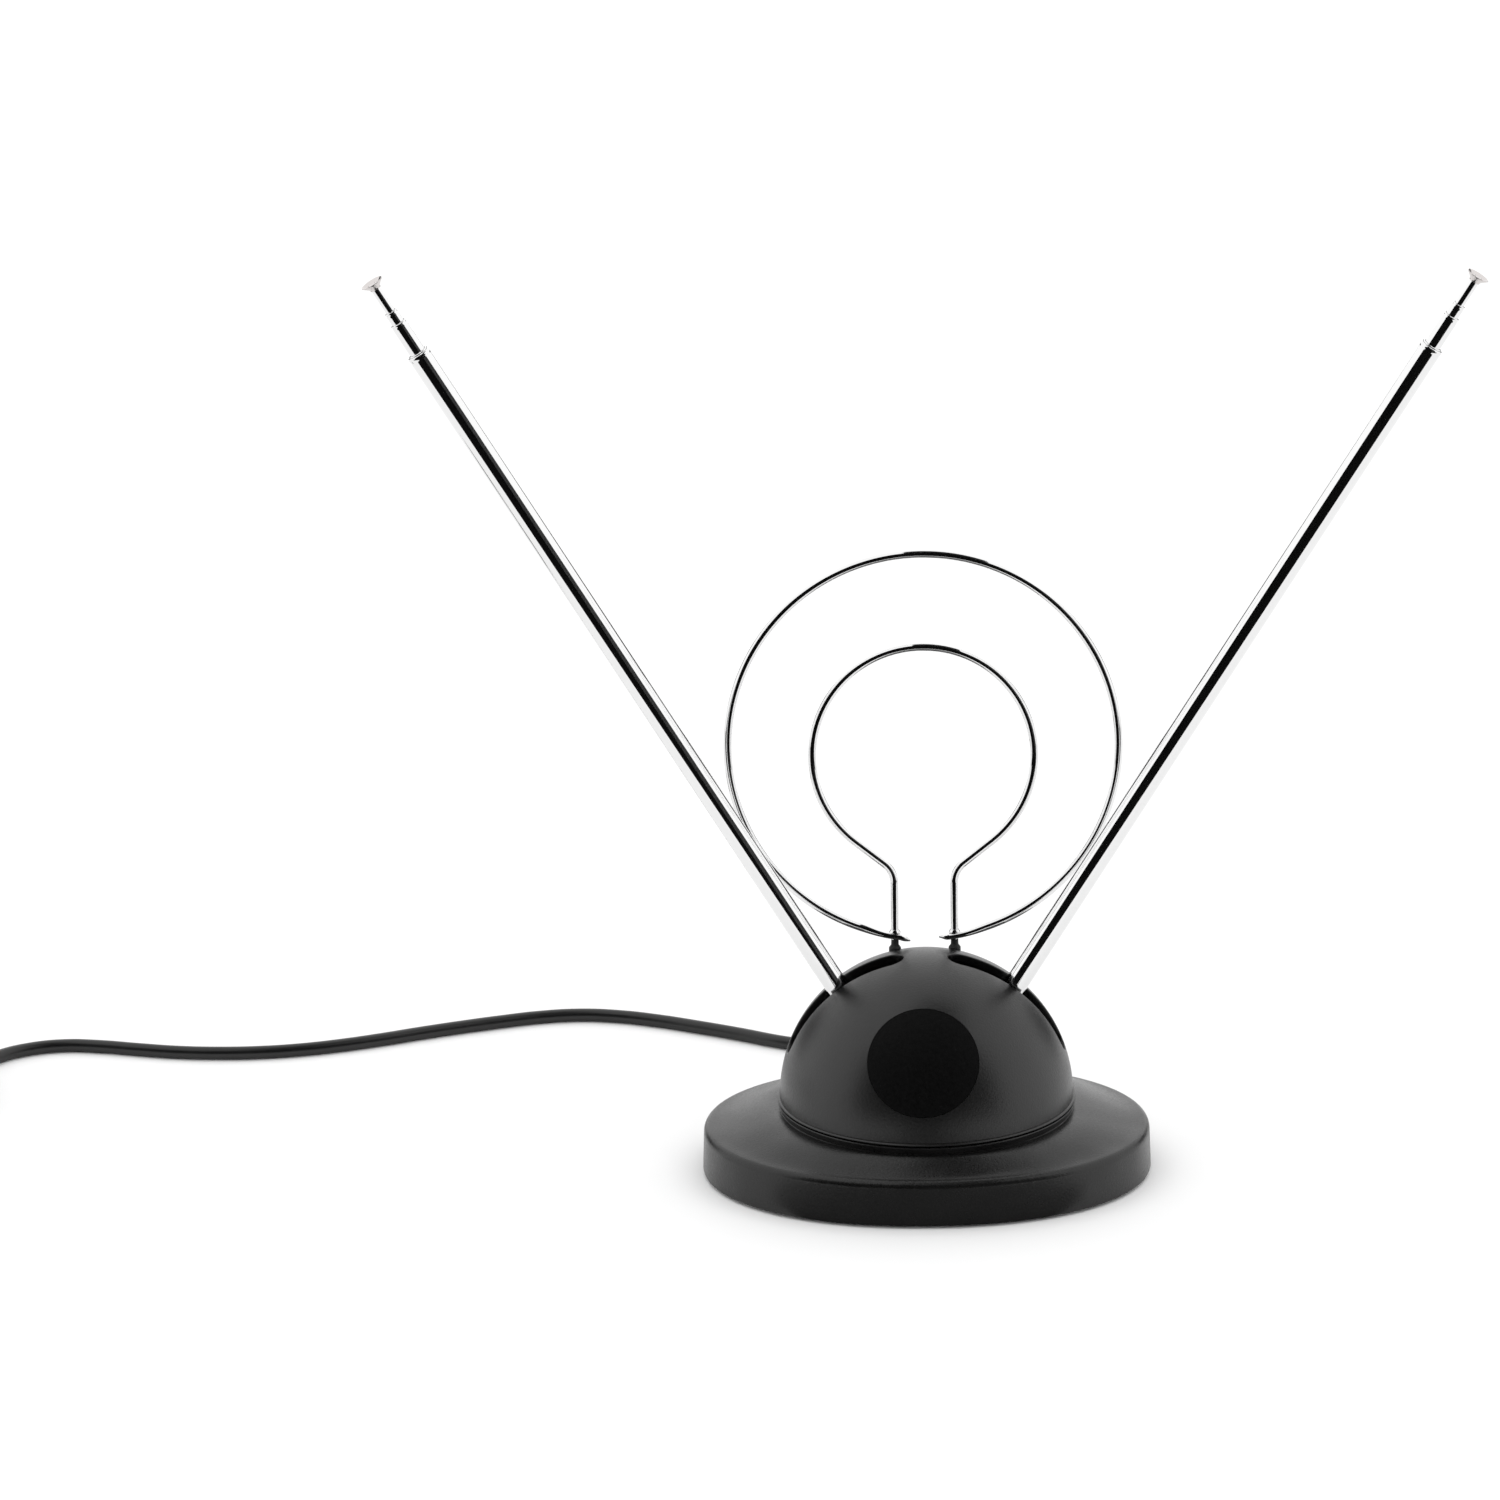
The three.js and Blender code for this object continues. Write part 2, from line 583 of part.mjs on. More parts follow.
/** Everything that belongs to one rod, on the side of sign. */
function rod(side, sign, leanDeg) {
  node(`${side}_clevis`, clevis(sign), "brass");
  const screwTop = CLEVIS.low + CLEVIS.thick + GAP;
  node(`${side}_clevis_screw`, panScrew(10).translate(sign * CLEVIS_SCREW_X, 0, screwTop), "zinc");

  const pin = new THREE.Group();
  pin.position.set(sign * PIVOT_X, 0, PIVOT_Z);
  pin.rotation.x = Math.PI / 2; // the pin's own +Z points to the front
  antenna.add(pin);
  const outside = CLEVIS.gapHalf + CLEVIS.thick;
  const headLow = outside + GAP;
  node(`${side}_pivot_screw`, turned([
    [0, -8.3], [PIN_R, -8.3], [PIN_R, headLow], [2.8, headLow],
    [1.8, headLow + 2], [0, headLow + 2],
  ], 12), "zinc", pin);
  const washerLow = -headLow - 1;
  node(`${side}_spring_washer`, turned([
    [PIN_R + RUNNING, washerLow + 0.4], [3, washerLow], [3, washerLow + 0.5],
    [PIN_R + RUNNING, -headLow], [PIN_R + RUNNING, washerLow + 0.4],
  ], 12), "zinc", pin);
  const nut = combine(post(3.2, washerLow - GAP - 2.4, washerLow - GAP, 0, 0, 6), [],
    [post(PIN_R + RUNNING, -9, 0, 0, 0, 12)]);
  node(`${side}_pivot_nut`, nut, "zinc", pin);

  const arm = new THREE.Group();
  arm.position.set(sign * PIVOT_X, 0, PIVOT_Z);
  arm.rotation.y = sign * THREE.MathUtils.degToRad(leanDeg);
  antenna.add(arm);
  node(`${side}_knuckle`, knuckle(), "zinc", arm);
  for (const { name, radius, low, high } of SECTIONS) {
    node(`${side}_${name}`, sleeve(radius, radius - TUBE_WALL, low, high), "chrome", arm);
  }
  node(`${side}_tip_rod`, post(TIP_ROD.radius, TIP_ROD.low, TIP_ROD.high, 0, 0, 12), "chrome", arm);
  node(`${side}_tip_cap`, tipCap(), "chrome", arm);

  const start = sign * 11;
  node(`${side}_rod_wire`, wire([
    [start, 8.6, 25.7], [start, 9.6, 27.2], [start, 10.8, 30], [start, 11.5, 33], [start, 11.6, 35],
  ], 0.6, 6, 8), "wireRed");
}

rod("left", -1, LEFT_LEAN_DEG);
rod("right", 1, RIGHT_LEAN_DEG);

// ---------------------------------------------------------------- UHF loops

const loops = new THREE.Group();
loops.position.copy(LOOP_ORIGIN);
loops.rotation.x = -THREE.MathUtils.degToRad(LOOP_LEAN_DEG);
antenna.add(loops);

/** Points on an arc in the loops' plane, from one angle to another, 0 being +X. */
function arc(centreX, centreZ, radius, fromDeg, toDeg, count) {
  const points = [];
  for (let i = 0; i <= count; i += 1) {
    const angle = THREE.MathUtils.degToRad(fromDeg + ((toDeg - fromDeg) * i) / count);
    points.push([centreX + radius * Math.cos(angle), 0, centreZ + radius * Math.sin(angle)]);
  }
  return points;
}

/** Where the inner loop's straight neck leaves its circle, as an angle of the circle. */
function tangentDeg() {
  const { radius, centre, bend } = INNER_LOOP;
  const away = Math.hypot(LEG_X, centre - bend);
  const toBend = Math.atan2(bend - centre, LEG_X);
  return THREE.MathUtils.radToDeg(toBend + Math.acos(radius / away));
}

function innerLoop() {
  const { radius, centre, bend, bendRound } = INNER_LOOP;
  const from = tangentDeg();
  const [tx, , tz] = arc(0, centre, radius, from, from, 1)[0];
  const along = new THREE.Vector2(tx - LEG_X, tz - bend).normalize();
  const afterBend = [LEG_X + along.x * bendRound, 0, bend + along.y * bendRound];
  const right = [
    [LEG_X, 0, LEG_LOW],
    [LEG_X, 0, 8],
    [LEG_X, 0, bend - bendRound],
    [LEG_X + along.x * 0.4, 0, bend + along.y * 0.4 - 0.3],
    afterBend,
  ];
  const left = right.map(([x, y, z]) => [-x, y, z]).reverse();
  return wire([...right, ...arc(0, centre, radius, from, 180 - from, 28), ...left], WIRE_R, 6, 64);
}

function outerLoop() {
  const { radius, centre } = OUTER_LOOP;
  const start = -90 + THREE.MathUtils.radToDeg(Math.asin((LEG_X + 1) / radius));
  const hoop = wire(arc(0, centre, radius, start, 180 - start, 40), WIRE_R, 6, 52);
  const joined = [-1, 1].map((sign) => post(2.9, EYELET_LOW, EYELET_LOW + EYELET_THICK, sign * LEG_X, 0));
  const cut = [-1, 1].map((sign) => post(WIRE_R + GAP, 0, 14, sign * LEG_X, 0, 12));
  return combine(hoop, joined, cut);
}

node("uhf_inner_loop", innerLoop(), "chrome", loops);
node("uhf_outer_loop", outerLoop(), "chrome", loops);
[["left", -1], ["right", 1]].forEach(([side, sign]) => {
  const bore = WIRE_R + GAP;
  const { neck, flange, flangeLow, flangeHigh } = GROMMET;
  const collar = turned([
    [bore, flangeLow], [flange, flangeLow], [flange, flangeHigh], [neck, flangeHigh],
    [neck, DOME_AT_LEG + 1.4], [neck - 0.7, DOME_AT_LEG + 2.6], [bore, DOME_AT_LEG + 2.6],
    [bore, flangeLow],
  ], 12);
  node(`${side}_loop_grommet`, collar.translate(sign * LEG_X, 0, 0), "rubber", loops);
  const top = flangeLow - GAP;
  const nut = combine(post(3, top - 2.4, top, 0, 0, 6), [], [post(bore, -9, 0, 0, 0, 12)]);
  node(`${side}_loop_terminal`, nut.translate(sign * LEG_X, 0, 0), "brass", loops);
  const x = sign * LEG_X;
  node(`${side}_loop_wire`, wire([
    [x, 8.6, 56], [x * 1.05, 8.9, 53.5], [x * 1.1, 9.8, 50], [x * 1.15, 11.2, 46], [x * 1.15, 11.6, 43],
  ], 0.6, 6, 8), "wireRed");
});

// ---------------------------------------------------------------- coaxial lead

node("inner_lead", wire([
  [0, 48.2, EXIT_Z], [0, 42, 7.3], [0, 36, 9.4], [0, 30.5, 12.4],
  [0, 25, 15.6], [0, 21.4, 19.4], [0, 19.2, 23.5], [0, 17.3, 27.5], [0, 16.8, 31],
], CABLE_R, 8, 9), "cableJacket");

const BOOT = { flange: 3.9, flangeLow: 48.5, neckEnd: BASE_HALF_Y + GAP, wallInside: 49.6 };
node("cable_boot", turned([
  [0, BOOT.flangeLow],
  [BOOT.flange, BOOT.flangeLow],
  [BOOT.flange, BOOT.wallInside],
  [NECK_R, BOOT.wallInside],
  [NECK_R, BOOT.neckEnd],
  [4.6, BOOT.neckEnd],
  [4.3, BOOT.neckEnd + 3],
  [2.7, BOOT_END_Y],
  [0, BOOT_END_Y],
]).rotateX(-Math.PI / 2).translate(0, 0, EXIT_Z), "rubber");

node("coax_cable", wire(CABLE_ROUTE, CABLE_R, 8, 40), "cableJacket");

/** The outer shape of the wound cable. */
function coilRing() {
  const { meanR, halfWide, high, x, y } = COIL;
  const [inner, outer, round] = [meanR - halfWide, meanR + halfWide, 2];
  return turned([
    [inner, round], [inner + round, 0], [outer - round, 0], [outer, round],
    [outer, high - round], [outer - round, high], [inner + round, high], [inner, high - round],
    [inner, round],
  ], 20).translate(x, y, 0);
}

node("cable_coil", coilRing(), "cableJacket");

/** A flat strap around the bundle of turns, on the side away from the antenna. */
function cableTie() {
  const { meanR, halfWide, high, x, y } = COIL;
  const across = halfWide + GAP;
  const [thick, halfLong, foot] = [0.9, 1.6, 0.02];
  const outside = block([x - meanR - across - thick, y - halfLong, foot - 1],
    [x - meanR + across + thick, y + halfLong, high + GAP + thick]);
  const inside = block([x - meanR - across, y - 3, -3], [x - meanR + across, y + 3, high + GAP]);
  return combine(outside, [], [inside, block([x - 60, y - 5, -3], [x, y + 5, 0])]);
}

node("cable_tie", cableTie(), "rubber");

// Screw-on coaxial connector, lying on the coil with its nose to the front.
const NUT_R = 4.9;
const connector = new THREE.Group();
connector.position.set(COIL.x + COIL.meanR - 1, COIL.y + 6, COIL.high + GAP + NUT_R);
connector.rotation.x = Math.PI / 2; // its own +Z points to the front
antenna.add(connector);
node("connector_body", turned([
  [0, 0], [3, 0], [3.4, 1], [3.4, 9], [4.4, 9.6], [4.4, 12], [2.6, 12.4], [2.6, 15],
  [0.5, 15], [0.5, 22], [0, 22.4],
]), "zinc", connector);
node("connector_nut", combine(post(NUT_R, 12.8, 20.5, 0, 0, 6), [], [
  post(2.6 + GAP, 12, 15.3, 0, 0, 16), post(3.8, 15.2, 22, 0, 0, 16),
]), "zinc", connector);

export default antenna;
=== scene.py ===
"""The looks of an indoor television antenna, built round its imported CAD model.

The antenna has two telescopic rods and a double UHF wire loop on a black dome, a weighted oval base and a
coaxial lead. Lengths are written in millimetres and scaled to metres where a mesh is made. The frame is the
CAD's: +X to the right, +Y to the back, +Z up, and the origin on the table under the centre of the base.
"""

import json
import math

import bmesh
import bpy
from mathutils import Matrix, Vector


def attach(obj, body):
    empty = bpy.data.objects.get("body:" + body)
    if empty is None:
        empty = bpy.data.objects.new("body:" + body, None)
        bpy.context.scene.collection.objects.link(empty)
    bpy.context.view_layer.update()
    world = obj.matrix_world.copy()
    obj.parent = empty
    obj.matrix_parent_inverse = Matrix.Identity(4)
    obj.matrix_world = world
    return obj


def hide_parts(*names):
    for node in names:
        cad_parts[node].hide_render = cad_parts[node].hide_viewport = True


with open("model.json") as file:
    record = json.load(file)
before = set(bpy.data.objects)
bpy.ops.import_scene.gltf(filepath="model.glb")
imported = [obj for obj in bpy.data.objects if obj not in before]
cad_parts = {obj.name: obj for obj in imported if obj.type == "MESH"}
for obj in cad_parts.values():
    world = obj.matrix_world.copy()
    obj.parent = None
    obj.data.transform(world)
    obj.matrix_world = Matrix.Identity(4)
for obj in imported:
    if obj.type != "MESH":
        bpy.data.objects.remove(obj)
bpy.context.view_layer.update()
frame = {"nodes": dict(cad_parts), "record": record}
MM = 0.001

# ---------------------------------------------------------------- sizes, in millimetres

BASE = {"half_x": 66.5, "half_y": 52.5, "power": 2.13, "low": 0.8, "wall": 2.4, "rim_z": 14.6, "rim_round": 2.4}
COLLAR = {"radius": 44.2, "low": 19.5, "deck_top": 22.4, "deck_low": 20, "hollow": 41.6}
DOME = {"radius": 43.5, "inner": 41.3, "z": 23.5}
SLOT = {"half_width": 4.3, "top_deg": 14.4, "low_deg": 66.1}
BADGE = {"radius": 16.4, "clear": 0.1, "tilt_deg": 32.6, "turn_deg": 2.3, "thick": 0.8}
GAP = 0.3
CORNERS = (("front_left", -1, -1), ("front_right", 1, -1), ("rear_left", -1, 1), ("rear_right", 1, 1))
FOOT_X, FOOT_Y = 36, 33
SCREW_X, SCREW_Y = 50, 18
PIVOT_X, PIVOT_Z = 10, 31
SIDES = {"left": (-1, 31.4), "right": (1, 32.0)}  # the side's sign, and the rod's lean from upright in degrees
SECTIONS = [  # name, the end of its body's name, radius, low end and high end along the rod
    ("tube_7", "arm", 3.5, 7.9, 262),
    ("tube_6", "section_6", 3, 34.4, 262.4),
    ("tube_5", "section_5", 2.5, 48.9, 272.9),
    ("tube_4", "section_4", 2, 56.9, 276.9),
]
TUBE_WALL = 0.35
BEAD, NECK = 0.13, 0.08  # how high the largest tube's mouth is swelled, and how deep the others' are necked
TIP_ROD = {"radius": 1.5, "low": 68.9, "high": 286}
LOOP_ORIGIN = Vector((0, 13.15, 60))
LOOP_LEAN_DEG = 6.9
LOOP_PLACE = Matrix.Translation(LOOP_ORIGIN) @ Matrix.Rotation(-math.radians(LOOP_LEAN_DEG), 4, "X")
WIRE_R = 1.25
STEM_R = 0.95  # the legs' thinner stems, from the outer loop's ends down
STEM_TOP = 8.05
LEG_X = 8.85
OUTER_LOOP = {"radius": 57.8, "centre": 65.6}
INNER_LOOP = {"radius": 32.85, "centre": 62.6, "bend": 27.8, "bend_round": 7.5, "leg_low": -6}
CABLE_R = 2
EXIT_Z = 7.4
BOOT_END_Y = 75
CABLE_ROUTE = [
    (0, 75.3, 7.4), (0, 78, 7.4), (-0.4, 82.5, 6.8), (-2.2, 87, 5), (-6, 91, 3.1), (-11, 94.2, 2.1),
    (-18, 97.2, 2), (-28, 100.8, 2), (-41.5, 106, 2), (-55, 114, 2), (-67.5, 120.8, 2), (-80, 127, 2),
    (-92, 131.4, 2), (-104, 133.2, 2), (-116.5, 131.6, 2), (-128.6, 127.8, 2), (-141, 123.2, 2),
    (-153, 118.2, 2), (-165, 112.8, 2), (-177, 108.1, 2), (-189, 104.6, 2), (-201, 102.7, 2),
    (-213.5, 102.4, 2), (-226, 103.6, 2), (-238, 106.4, 2), (-250, 109.6, 2), (-261, 110.8, 2),
    (-271.8, 107.9, 2), (-281, 101.2, 2), (-287.4, 91, 2), (-290.2, 79.6, 2),
]
COIL = {"x": -318, "y": 66, "mean": 22, "pitch": 4.1, "half_wide": 6.3, "high": 13}
CONNECTOR = {"x": COIL["x"] + COIL["mean"] - 1, "y": COIL["y"] + 6, "z": COIL["high"] + GAP + 4.9}

# ---------------------------------------------------------------- camera

CAMERA = {"elevation_deg": 18.5, "roll_deg": -0.661, "target": (-0.051166, 0, 0.131491), "away": 4, "lens": 326.5}


def make_camera():
    """A long lens above the front of the table, rolled slightly. Its distance and its target are in metres."""
    elevation, roll = math.radians(CAMERA["elevation_deg"]), math.radians(CAMERA["roll_deg"])
    target = Vector(CAMERA["target"])
    back = Vector((0, -math.cos(elevation), math.sin(elevation)))
    right = Vector((1, 0, 0))
    up = back.cross(right)
    x_axis = right * math.cos(roll) + up * math.sin(roll)
    y_axis = up * math.cos(roll) - right * math.sin(roll)
    data = bpy.data.cameras.new("camera")
    data.lens, data.sensor_width = CAMERA["lens"], 36
    data.clip_start, data.clip_end = 0.1, 100
    camera = bpy.data.objects.new("camera", data)
    bpy.context.scene.collection.objects.link(camera)
    turned = Matrix((x_axis, y_axis, back)).transposed().to_4x4()
    camera.matrix_world = Matrix.Translation(target + back * CAMERA["away"]) @ turned
    bpy.context.scene.camera = camera


make_camera()

# ---------------------------------------------------------------- materials


def noise(tree, coordinates, scale, detail, stretch=(1, 1, 1)):
    """The fac output of a noise texture over the object's own coordinates."""
    mapping = tree.nodes.new("ShaderNodeMapping")
    mapping.inputs["Scale"].default_value = stretch
    texture = tree.nodes.new("ShaderNodeTexNoise")
    texture.inputs["Scale"].default_value = scale
    texture.inputs["Detail"].default_value = detail
    tree.links.new(coordinates, mapping.inputs["Vector"])
    tree.links.new(mapping.outputs["Vector"], texture.inputs["Vector"])
    return texture.outputs["Fac"]


def spread(tree, value, low, high):
    """A noise's value, which is mostly from 0.3 to 0.7, mapped to low..high."""
    node = tree.nodes.new("ShaderNodeMapRange")
    for name, number in (("From Min", 0.3), ("From Max", 0.7), ("To Min", low), ("To Max", high)):
        node.inputs[name].default_value = number
    tree.links.new(value, node.inputs["Value"])
    return node.outputs["Result"]


def material(name, colours, roughness, grain, bump, metallic=0.0, specular=0.5, cloud=60.0, stretch=(1, 1, 1),
             waves=None):
    """A procedural surface: clouds between two colours, roughness that varies with a fine grain, and a bump
    of the same grain. grain is in features per metre, and bump is the grain's depth in millimetres. waves is
    the same pair for the shallow unevenness of a moulding."""
    made = bpy.data.materials.new(name)
    made.use_nodes = True
    tree = made.node_tree
    shader = tree.nodes["Principled BSDF"]
    shader.inputs["Metallic"].default_value = metallic
    shader.inputs["Specular IOR Level"].default_value = specular
    place = tree.nodes.new("ShaderNodeTexCoord").outputs["Object"]
    mix = tree.nodes.new("ShaderNodeMix")
    mix.data_type = "RGBA"
    mix.inputs["A"].default_value = (*colours[0], 1)
    mix.inputs["B"].default_value = (*colours[1], 1)
    clouds = noise(tree, place, cloud, 4.0, stretch)
    tree.links.new(spread(tree, clouds, 0, 1), mix.inputs["Factor"])
    tree.links.new(mix.outputs["Result"], shader.inputs["Base Color"])
    fine = noise(tree, place, grain, 2.0, stretch)
    tree.links.new(spread(tree, fine, *roughness), shader.inputs["Roughness"])
    if bump:
        relief = tree.nodes.new("ShaderNodeBump")
        relief.inputs["Strength"].default_value = 1.0
        relief.inputs["Distance"].default_value = bump * MM
        tree.links.new(fine, relief.inputs["Height"])
        tree.links.new(relief.outputs["Normal"], shader.inputs["Normal"])
        if waves:
            under = tree.nodes.new("ShaderNodeBump")
            under.inputs["Strength"].default_value = 1.0
            under.inputs["Distance"].default_value = waves[1] * MM
            tree.links.new(noise(tree, place, waves[0], 1.0), under.inputs["Height"])
            tree.links.new(under.outputs["Normal"], relief.inputs["Normal"])
    return made


def grey(value, warm=0.0):
    """A neutral colour, a little warmer if asked."""
    return (value * (1 + warm), value, value * (1 - warm))


def greys(first, second, first_warm=0.0, second_warm=0.0):
    """The two greys that a surface's clouds go between."""
    return grey(first, first_warm), grey(second, second_warm)


METAL = {"metallic": 1.0}
ALONG = (1, 1, 0.04)  # stretches a noise along a rod
LOOKS = {  # by slot: material()'s colours, roughness, grain and bump, and what it is given beyond them
    "base_plastic": (
        greys(0.0022, 0.0042, 0.03, 0.03), (0.27, 0.37), 1500, 0.05, {"specular": 0.46, "waves": (38, 1.1)},
    ),
    "dome_plastic": (greys(0.0022, 0.0036, 0.03, 0.03), (0.31, 0.39), 1600, 0.045, {"specular": 0.54}),
    "badge_film": (greys(0.0014, 0.0028), (0.5, 0.62), 1900, 0.06, {"specular": 0.07, "cloud": 900}),
    "inner_plastic": (greys(0.008, 0.012), (0.5, 0.65), 1200, 0.02, {}),
    "ballast_iron": (greys(0.05, 0.09, 0.0, 0.05), (0.55, 0.8), 700, 0.1, {"metallic": 0.8}),
    "feet_rubber": (greys(0.012, 0.02), (0.75, 0.92), 1500, 0.04, {"specular": 0.3}),
    "trim_rubber": (greys(0.008, 0.014), (0.5, 0.66), 1500, 0.03, {"specular": 0.4}),
    "zinc_steel": (greys(0.5, 0.62, 0.0, 0.01), (0.24, 0.4), 900, 0.008, METAL),
    "brass": (((0.55, 0.36, 0.14), (0.68, 0.47, 0.2)), (0.22, 0.38), 900, 0.008, METAL),
    "rod_chrome": (greys(0.76, 0.8), (0.03, 0.06), 2200, 0.0006, {**METAL, "stretch": ALONG}),
    "loop_chrome": (greys(0.74, 0.8), (0.03, 0.08), 1500, 0.001, METAL),
    "circuit_board": (((0.32, 0.19, 0.07), (0.4, 0.25, 0.1)), (0.5, 0.7), 900, 0.01, {}),
    "ferrite": (greys(0.02, 0.035), (0.5, 0.7), 1200, 0.03, {}),
    "wire_insulation": (((0.25, 0.012, 0.01), (0.33, 0.018, 0.014)), (0.35, 0.5), 900, 0.006, {}),
    "cable_jacket": (greys(0.003, 0.005), (0.28, 0.4), 1500, 0.012, {}),
    "connector_nickel": (greys(0.62, 0.74, 0.01, 0.01), (0.12, 0.25), 1400, 0.003, METAL),
}
MATERIALS = {slot: material(slot, *look, **more) for slot, (*look, more) in LOOKS.items()}
BUTTON_LOOK = material(
    "button_chrome", ((0.56, 0.53, 0.52), (0.66, 0.63, 0.62)), (0.12, 0.2), 1800, 0.004, **METAL,
)


def carry_materials():
    """Every CAD node gets the material of its slot in the record."""
    slots = {part["node"]: part["material_slot"] for part in frame["record"]["subparts"]}
    for name, node in frame["nodes"].items():
        node.data.materials.clear()
        node.data.materials.append(MATERIALS[slots[name]])


carry_materials()

# ---------------------------------------------------------------- mesh helpers


def new_object(name, data):
    """An object in the scene."""
    made = bpy.data.objects.new(name, data)
    bpy.context.scene.collection.objects.link(made)
    return made


def clean_mesh(name, vertices, faces, dissolve=True):
    """A mesh in metres from vertices in millimetres, with its doubled vertices merged and its faces outwards."""
    mesh = bpy.data.meshes.new(name)
    mesh.from_pydata([tuple(MM * c for c in v) for v in vertices], [], [tuple(f) for f in faces])
    work = bmesh.new()
    work.from_mesh(mesh)
    bmesh.ops.remove_doubles(work, verts=work.verts, dist=1e-6)
    if dissolve:
        bmesh.ops.dissolve_degenerate(work, edges=work.edges, dist=1e-7)
    bmesh.ops.recalc_face_normals(work, faces=work.faces)
    work.to_mesh(mesh)
    work.free()
    return mesh


def mesh_piece(name, vertices, faces, slot, body, stands_for=(), sharp_deg=35, place=None, look=None):
    """A smooth-shaded piece from vertices in millimetres. It rides on a body and takes a slot's material."""
    mesh = clean_mesh(name, vertices, faces)
    mesh.materials.append(look or MATERIALS[slot])
    piece = new_object(name, mesh)
    if place is not None:
        piece.matrix_world = place
    soften(piece, sharp_deg)
    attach(piece, body)
    if stands_for:
        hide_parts(*stands_for)
    return piece


def soften(piece, sharp_deg):
    """Smooth shading weighted by face area, with the edges above an angle left sharp."""
    piece.data.polygons.foreach_set("use_smooth", [True] * len(piece.data.polygons))
    piece.data.set_sharp_from_angle(angle=math.radians(sharp_deg))
    modifier = piece.modifiers.new("weighted", "WEIGHTED_NORMAL")
    modifier.keep_sharp = True
    modifier.weight = 90
    bake(piece)


def bake(piece):
    """Applies a piece's modifiers."""
    bpy.context.view_layer.update()
    evaluated = piece.evaluated_get(bpy.context.evaluated_depsgraph_get())
    result = bpy.data.meshes.new_from_object(evaluated)
    piece.modifiers.clear()
    piece.data = result


def rows_faces(rows, columns, wrap_rows=False):
    """Faces of a grid numbered row by row. Its columns close on themselves, and its rows do if asked."""
    faces = []
    for i in range(rows if wrap_rows else rows - 1):
        for j in range(columns):
            k, m = (i + 1) % rows, (j + 1) % columns
            faces.append((i * columns + j, i * columns + m, k * columns + m, k * columns + j))
    return faces


def lathe(profile, sides, closed=False):
    """A body of revolution about Z from (radius, height) pairs. A closed profile joins end to start."""
    angles = [2 * math.pi * i / sides for i in range(sides)]
    vertices = [(r * math.cos(a), r * math.sin(a), h) for r, h in profile for a in angles]
    return vertices, rows_faces(len(profile), sides, wrap_rows=closed)


STRAIGHT_DEG = 88  # half of a corner's angle, beyond which it is left as it is


def rounded(points, radius, steps, closed=False):
    """The outline with its corners rounded: all but its two ends, or all of them if it is closed."""
    count = len(points)
    made = []
    for i, point in enumerate(points):
        if not closed and i in (0, count - 1):
            made.append(tuple(point))
            continue
        here = Vector(point)
        to_last, to_next = Vector(points[i - 1]) - here, Vector(points[(i + 1) % count]) - here
        half = to_last.angle(to_next) / 2
        if half > math.radians(STRAIGHT_DEG):
            made.append(tuple(point))
            continue
        reach = min(radius / math.tan(half), 0.49 * to_last.length, 0.49 * to_next.length)
        start, end = here + to_last.normalized() * reach, here + to_next.normalized() * reach
        middle = (to_last.normalized() + to_next.normalized()).normalized()
        centre = here + middle * (reach / math.cos(half))
        for k in range(steps + 1):
            share = k / steps
            away = (start - centre).lerp(end - centre, share).normalized()
            made.append(tuple(centre + away * (reach * math.tan(half))))
    return made


def smooth(share):
    """An S-shaped rise from 0 to 1."""
    share = min(max(share, 0.0), 1.0)
    return share * share * (3 - 2 * share)


def joined(*parts):
    """Several (vertices, faces) as one."""
    vertices, faces = [], []
    for some_vertices, some_faces in parts:
        faces += [tuple(i + len(vertices) for i in f) for f in some_faces]
        vertices += list(some_vertices)
    return vertices, faces


def moved(part, matrix):
    """A (vertices, faces) pair moved by a matrix."""
    vertices, faces = part
    return [tuple(matrix @ Vector(v)) for v in vertices], faces


def shifted(part, x, y):
    """A (vertices, faces) pair moved along the table."""
    return moved(part, Matrix.Translation((x, y, 0)))


def capped(rows):
    """The (vertices, faces) of rows of points, closed by a face at the first row and one at the last."""
    count = len(rows[0])
    last = (len(rows) - 1) * count
    ends = [tuple(range(count)), tuple(range(last, last + count))]
    return [tuple(point) for row in rows for point in row], rows_faces(len(rows), count) + ends


def cut(piece, *cutters):
    """Takes (vertices, faces) shapes, in millimetres, away from a piece."""
    for vertices, faces in cutters:
        tool = new_object("cutter", clean_mesh("cutter", vertices, faces, dissolve=False))
        modifier = piece.modifiers.new("cut", "BOOLEAN")
        modifier.operation, modifier.solver, modifier.object = "DIFFERENCE", "EXACT", tool
        bake(piece)
        bpy.data.objects.remove(tool)


def tube_along(path, sections, flat_normal):
    """A tube along points in one plane. A section lists its (in the plane, off the plane) offsets."""
    rows = []
    for i, point in enumerate(path):
        before, after = path[max(i - 1, 0)], path[min(i + 1, len(path) - 1)]
        across = flat_normal.cross((after - before).normalized())
        rows.append([point + across * a + flat_normal * b for a, b in sections[i]])
    return capped(rows)


def oval(half_a, half_b, sides=20, power=2.0):
    """A section between an ellipse, at power 2, and a rounded rectangle, at more."""
    points = []
    for i in range(sides):
        angle = 2 * math.pi * (i + 0.5) / sides
        c, s = math.cos(angle), math.sin(angle)
        points.append((
            half_a * math.copysign(abs(c) ** (2 / power), c),
            half_b * math.copysign(abs(s) ** (2 / power), s),
        ))
    return points


# ---------------------------------------------------------------- coaxial lead


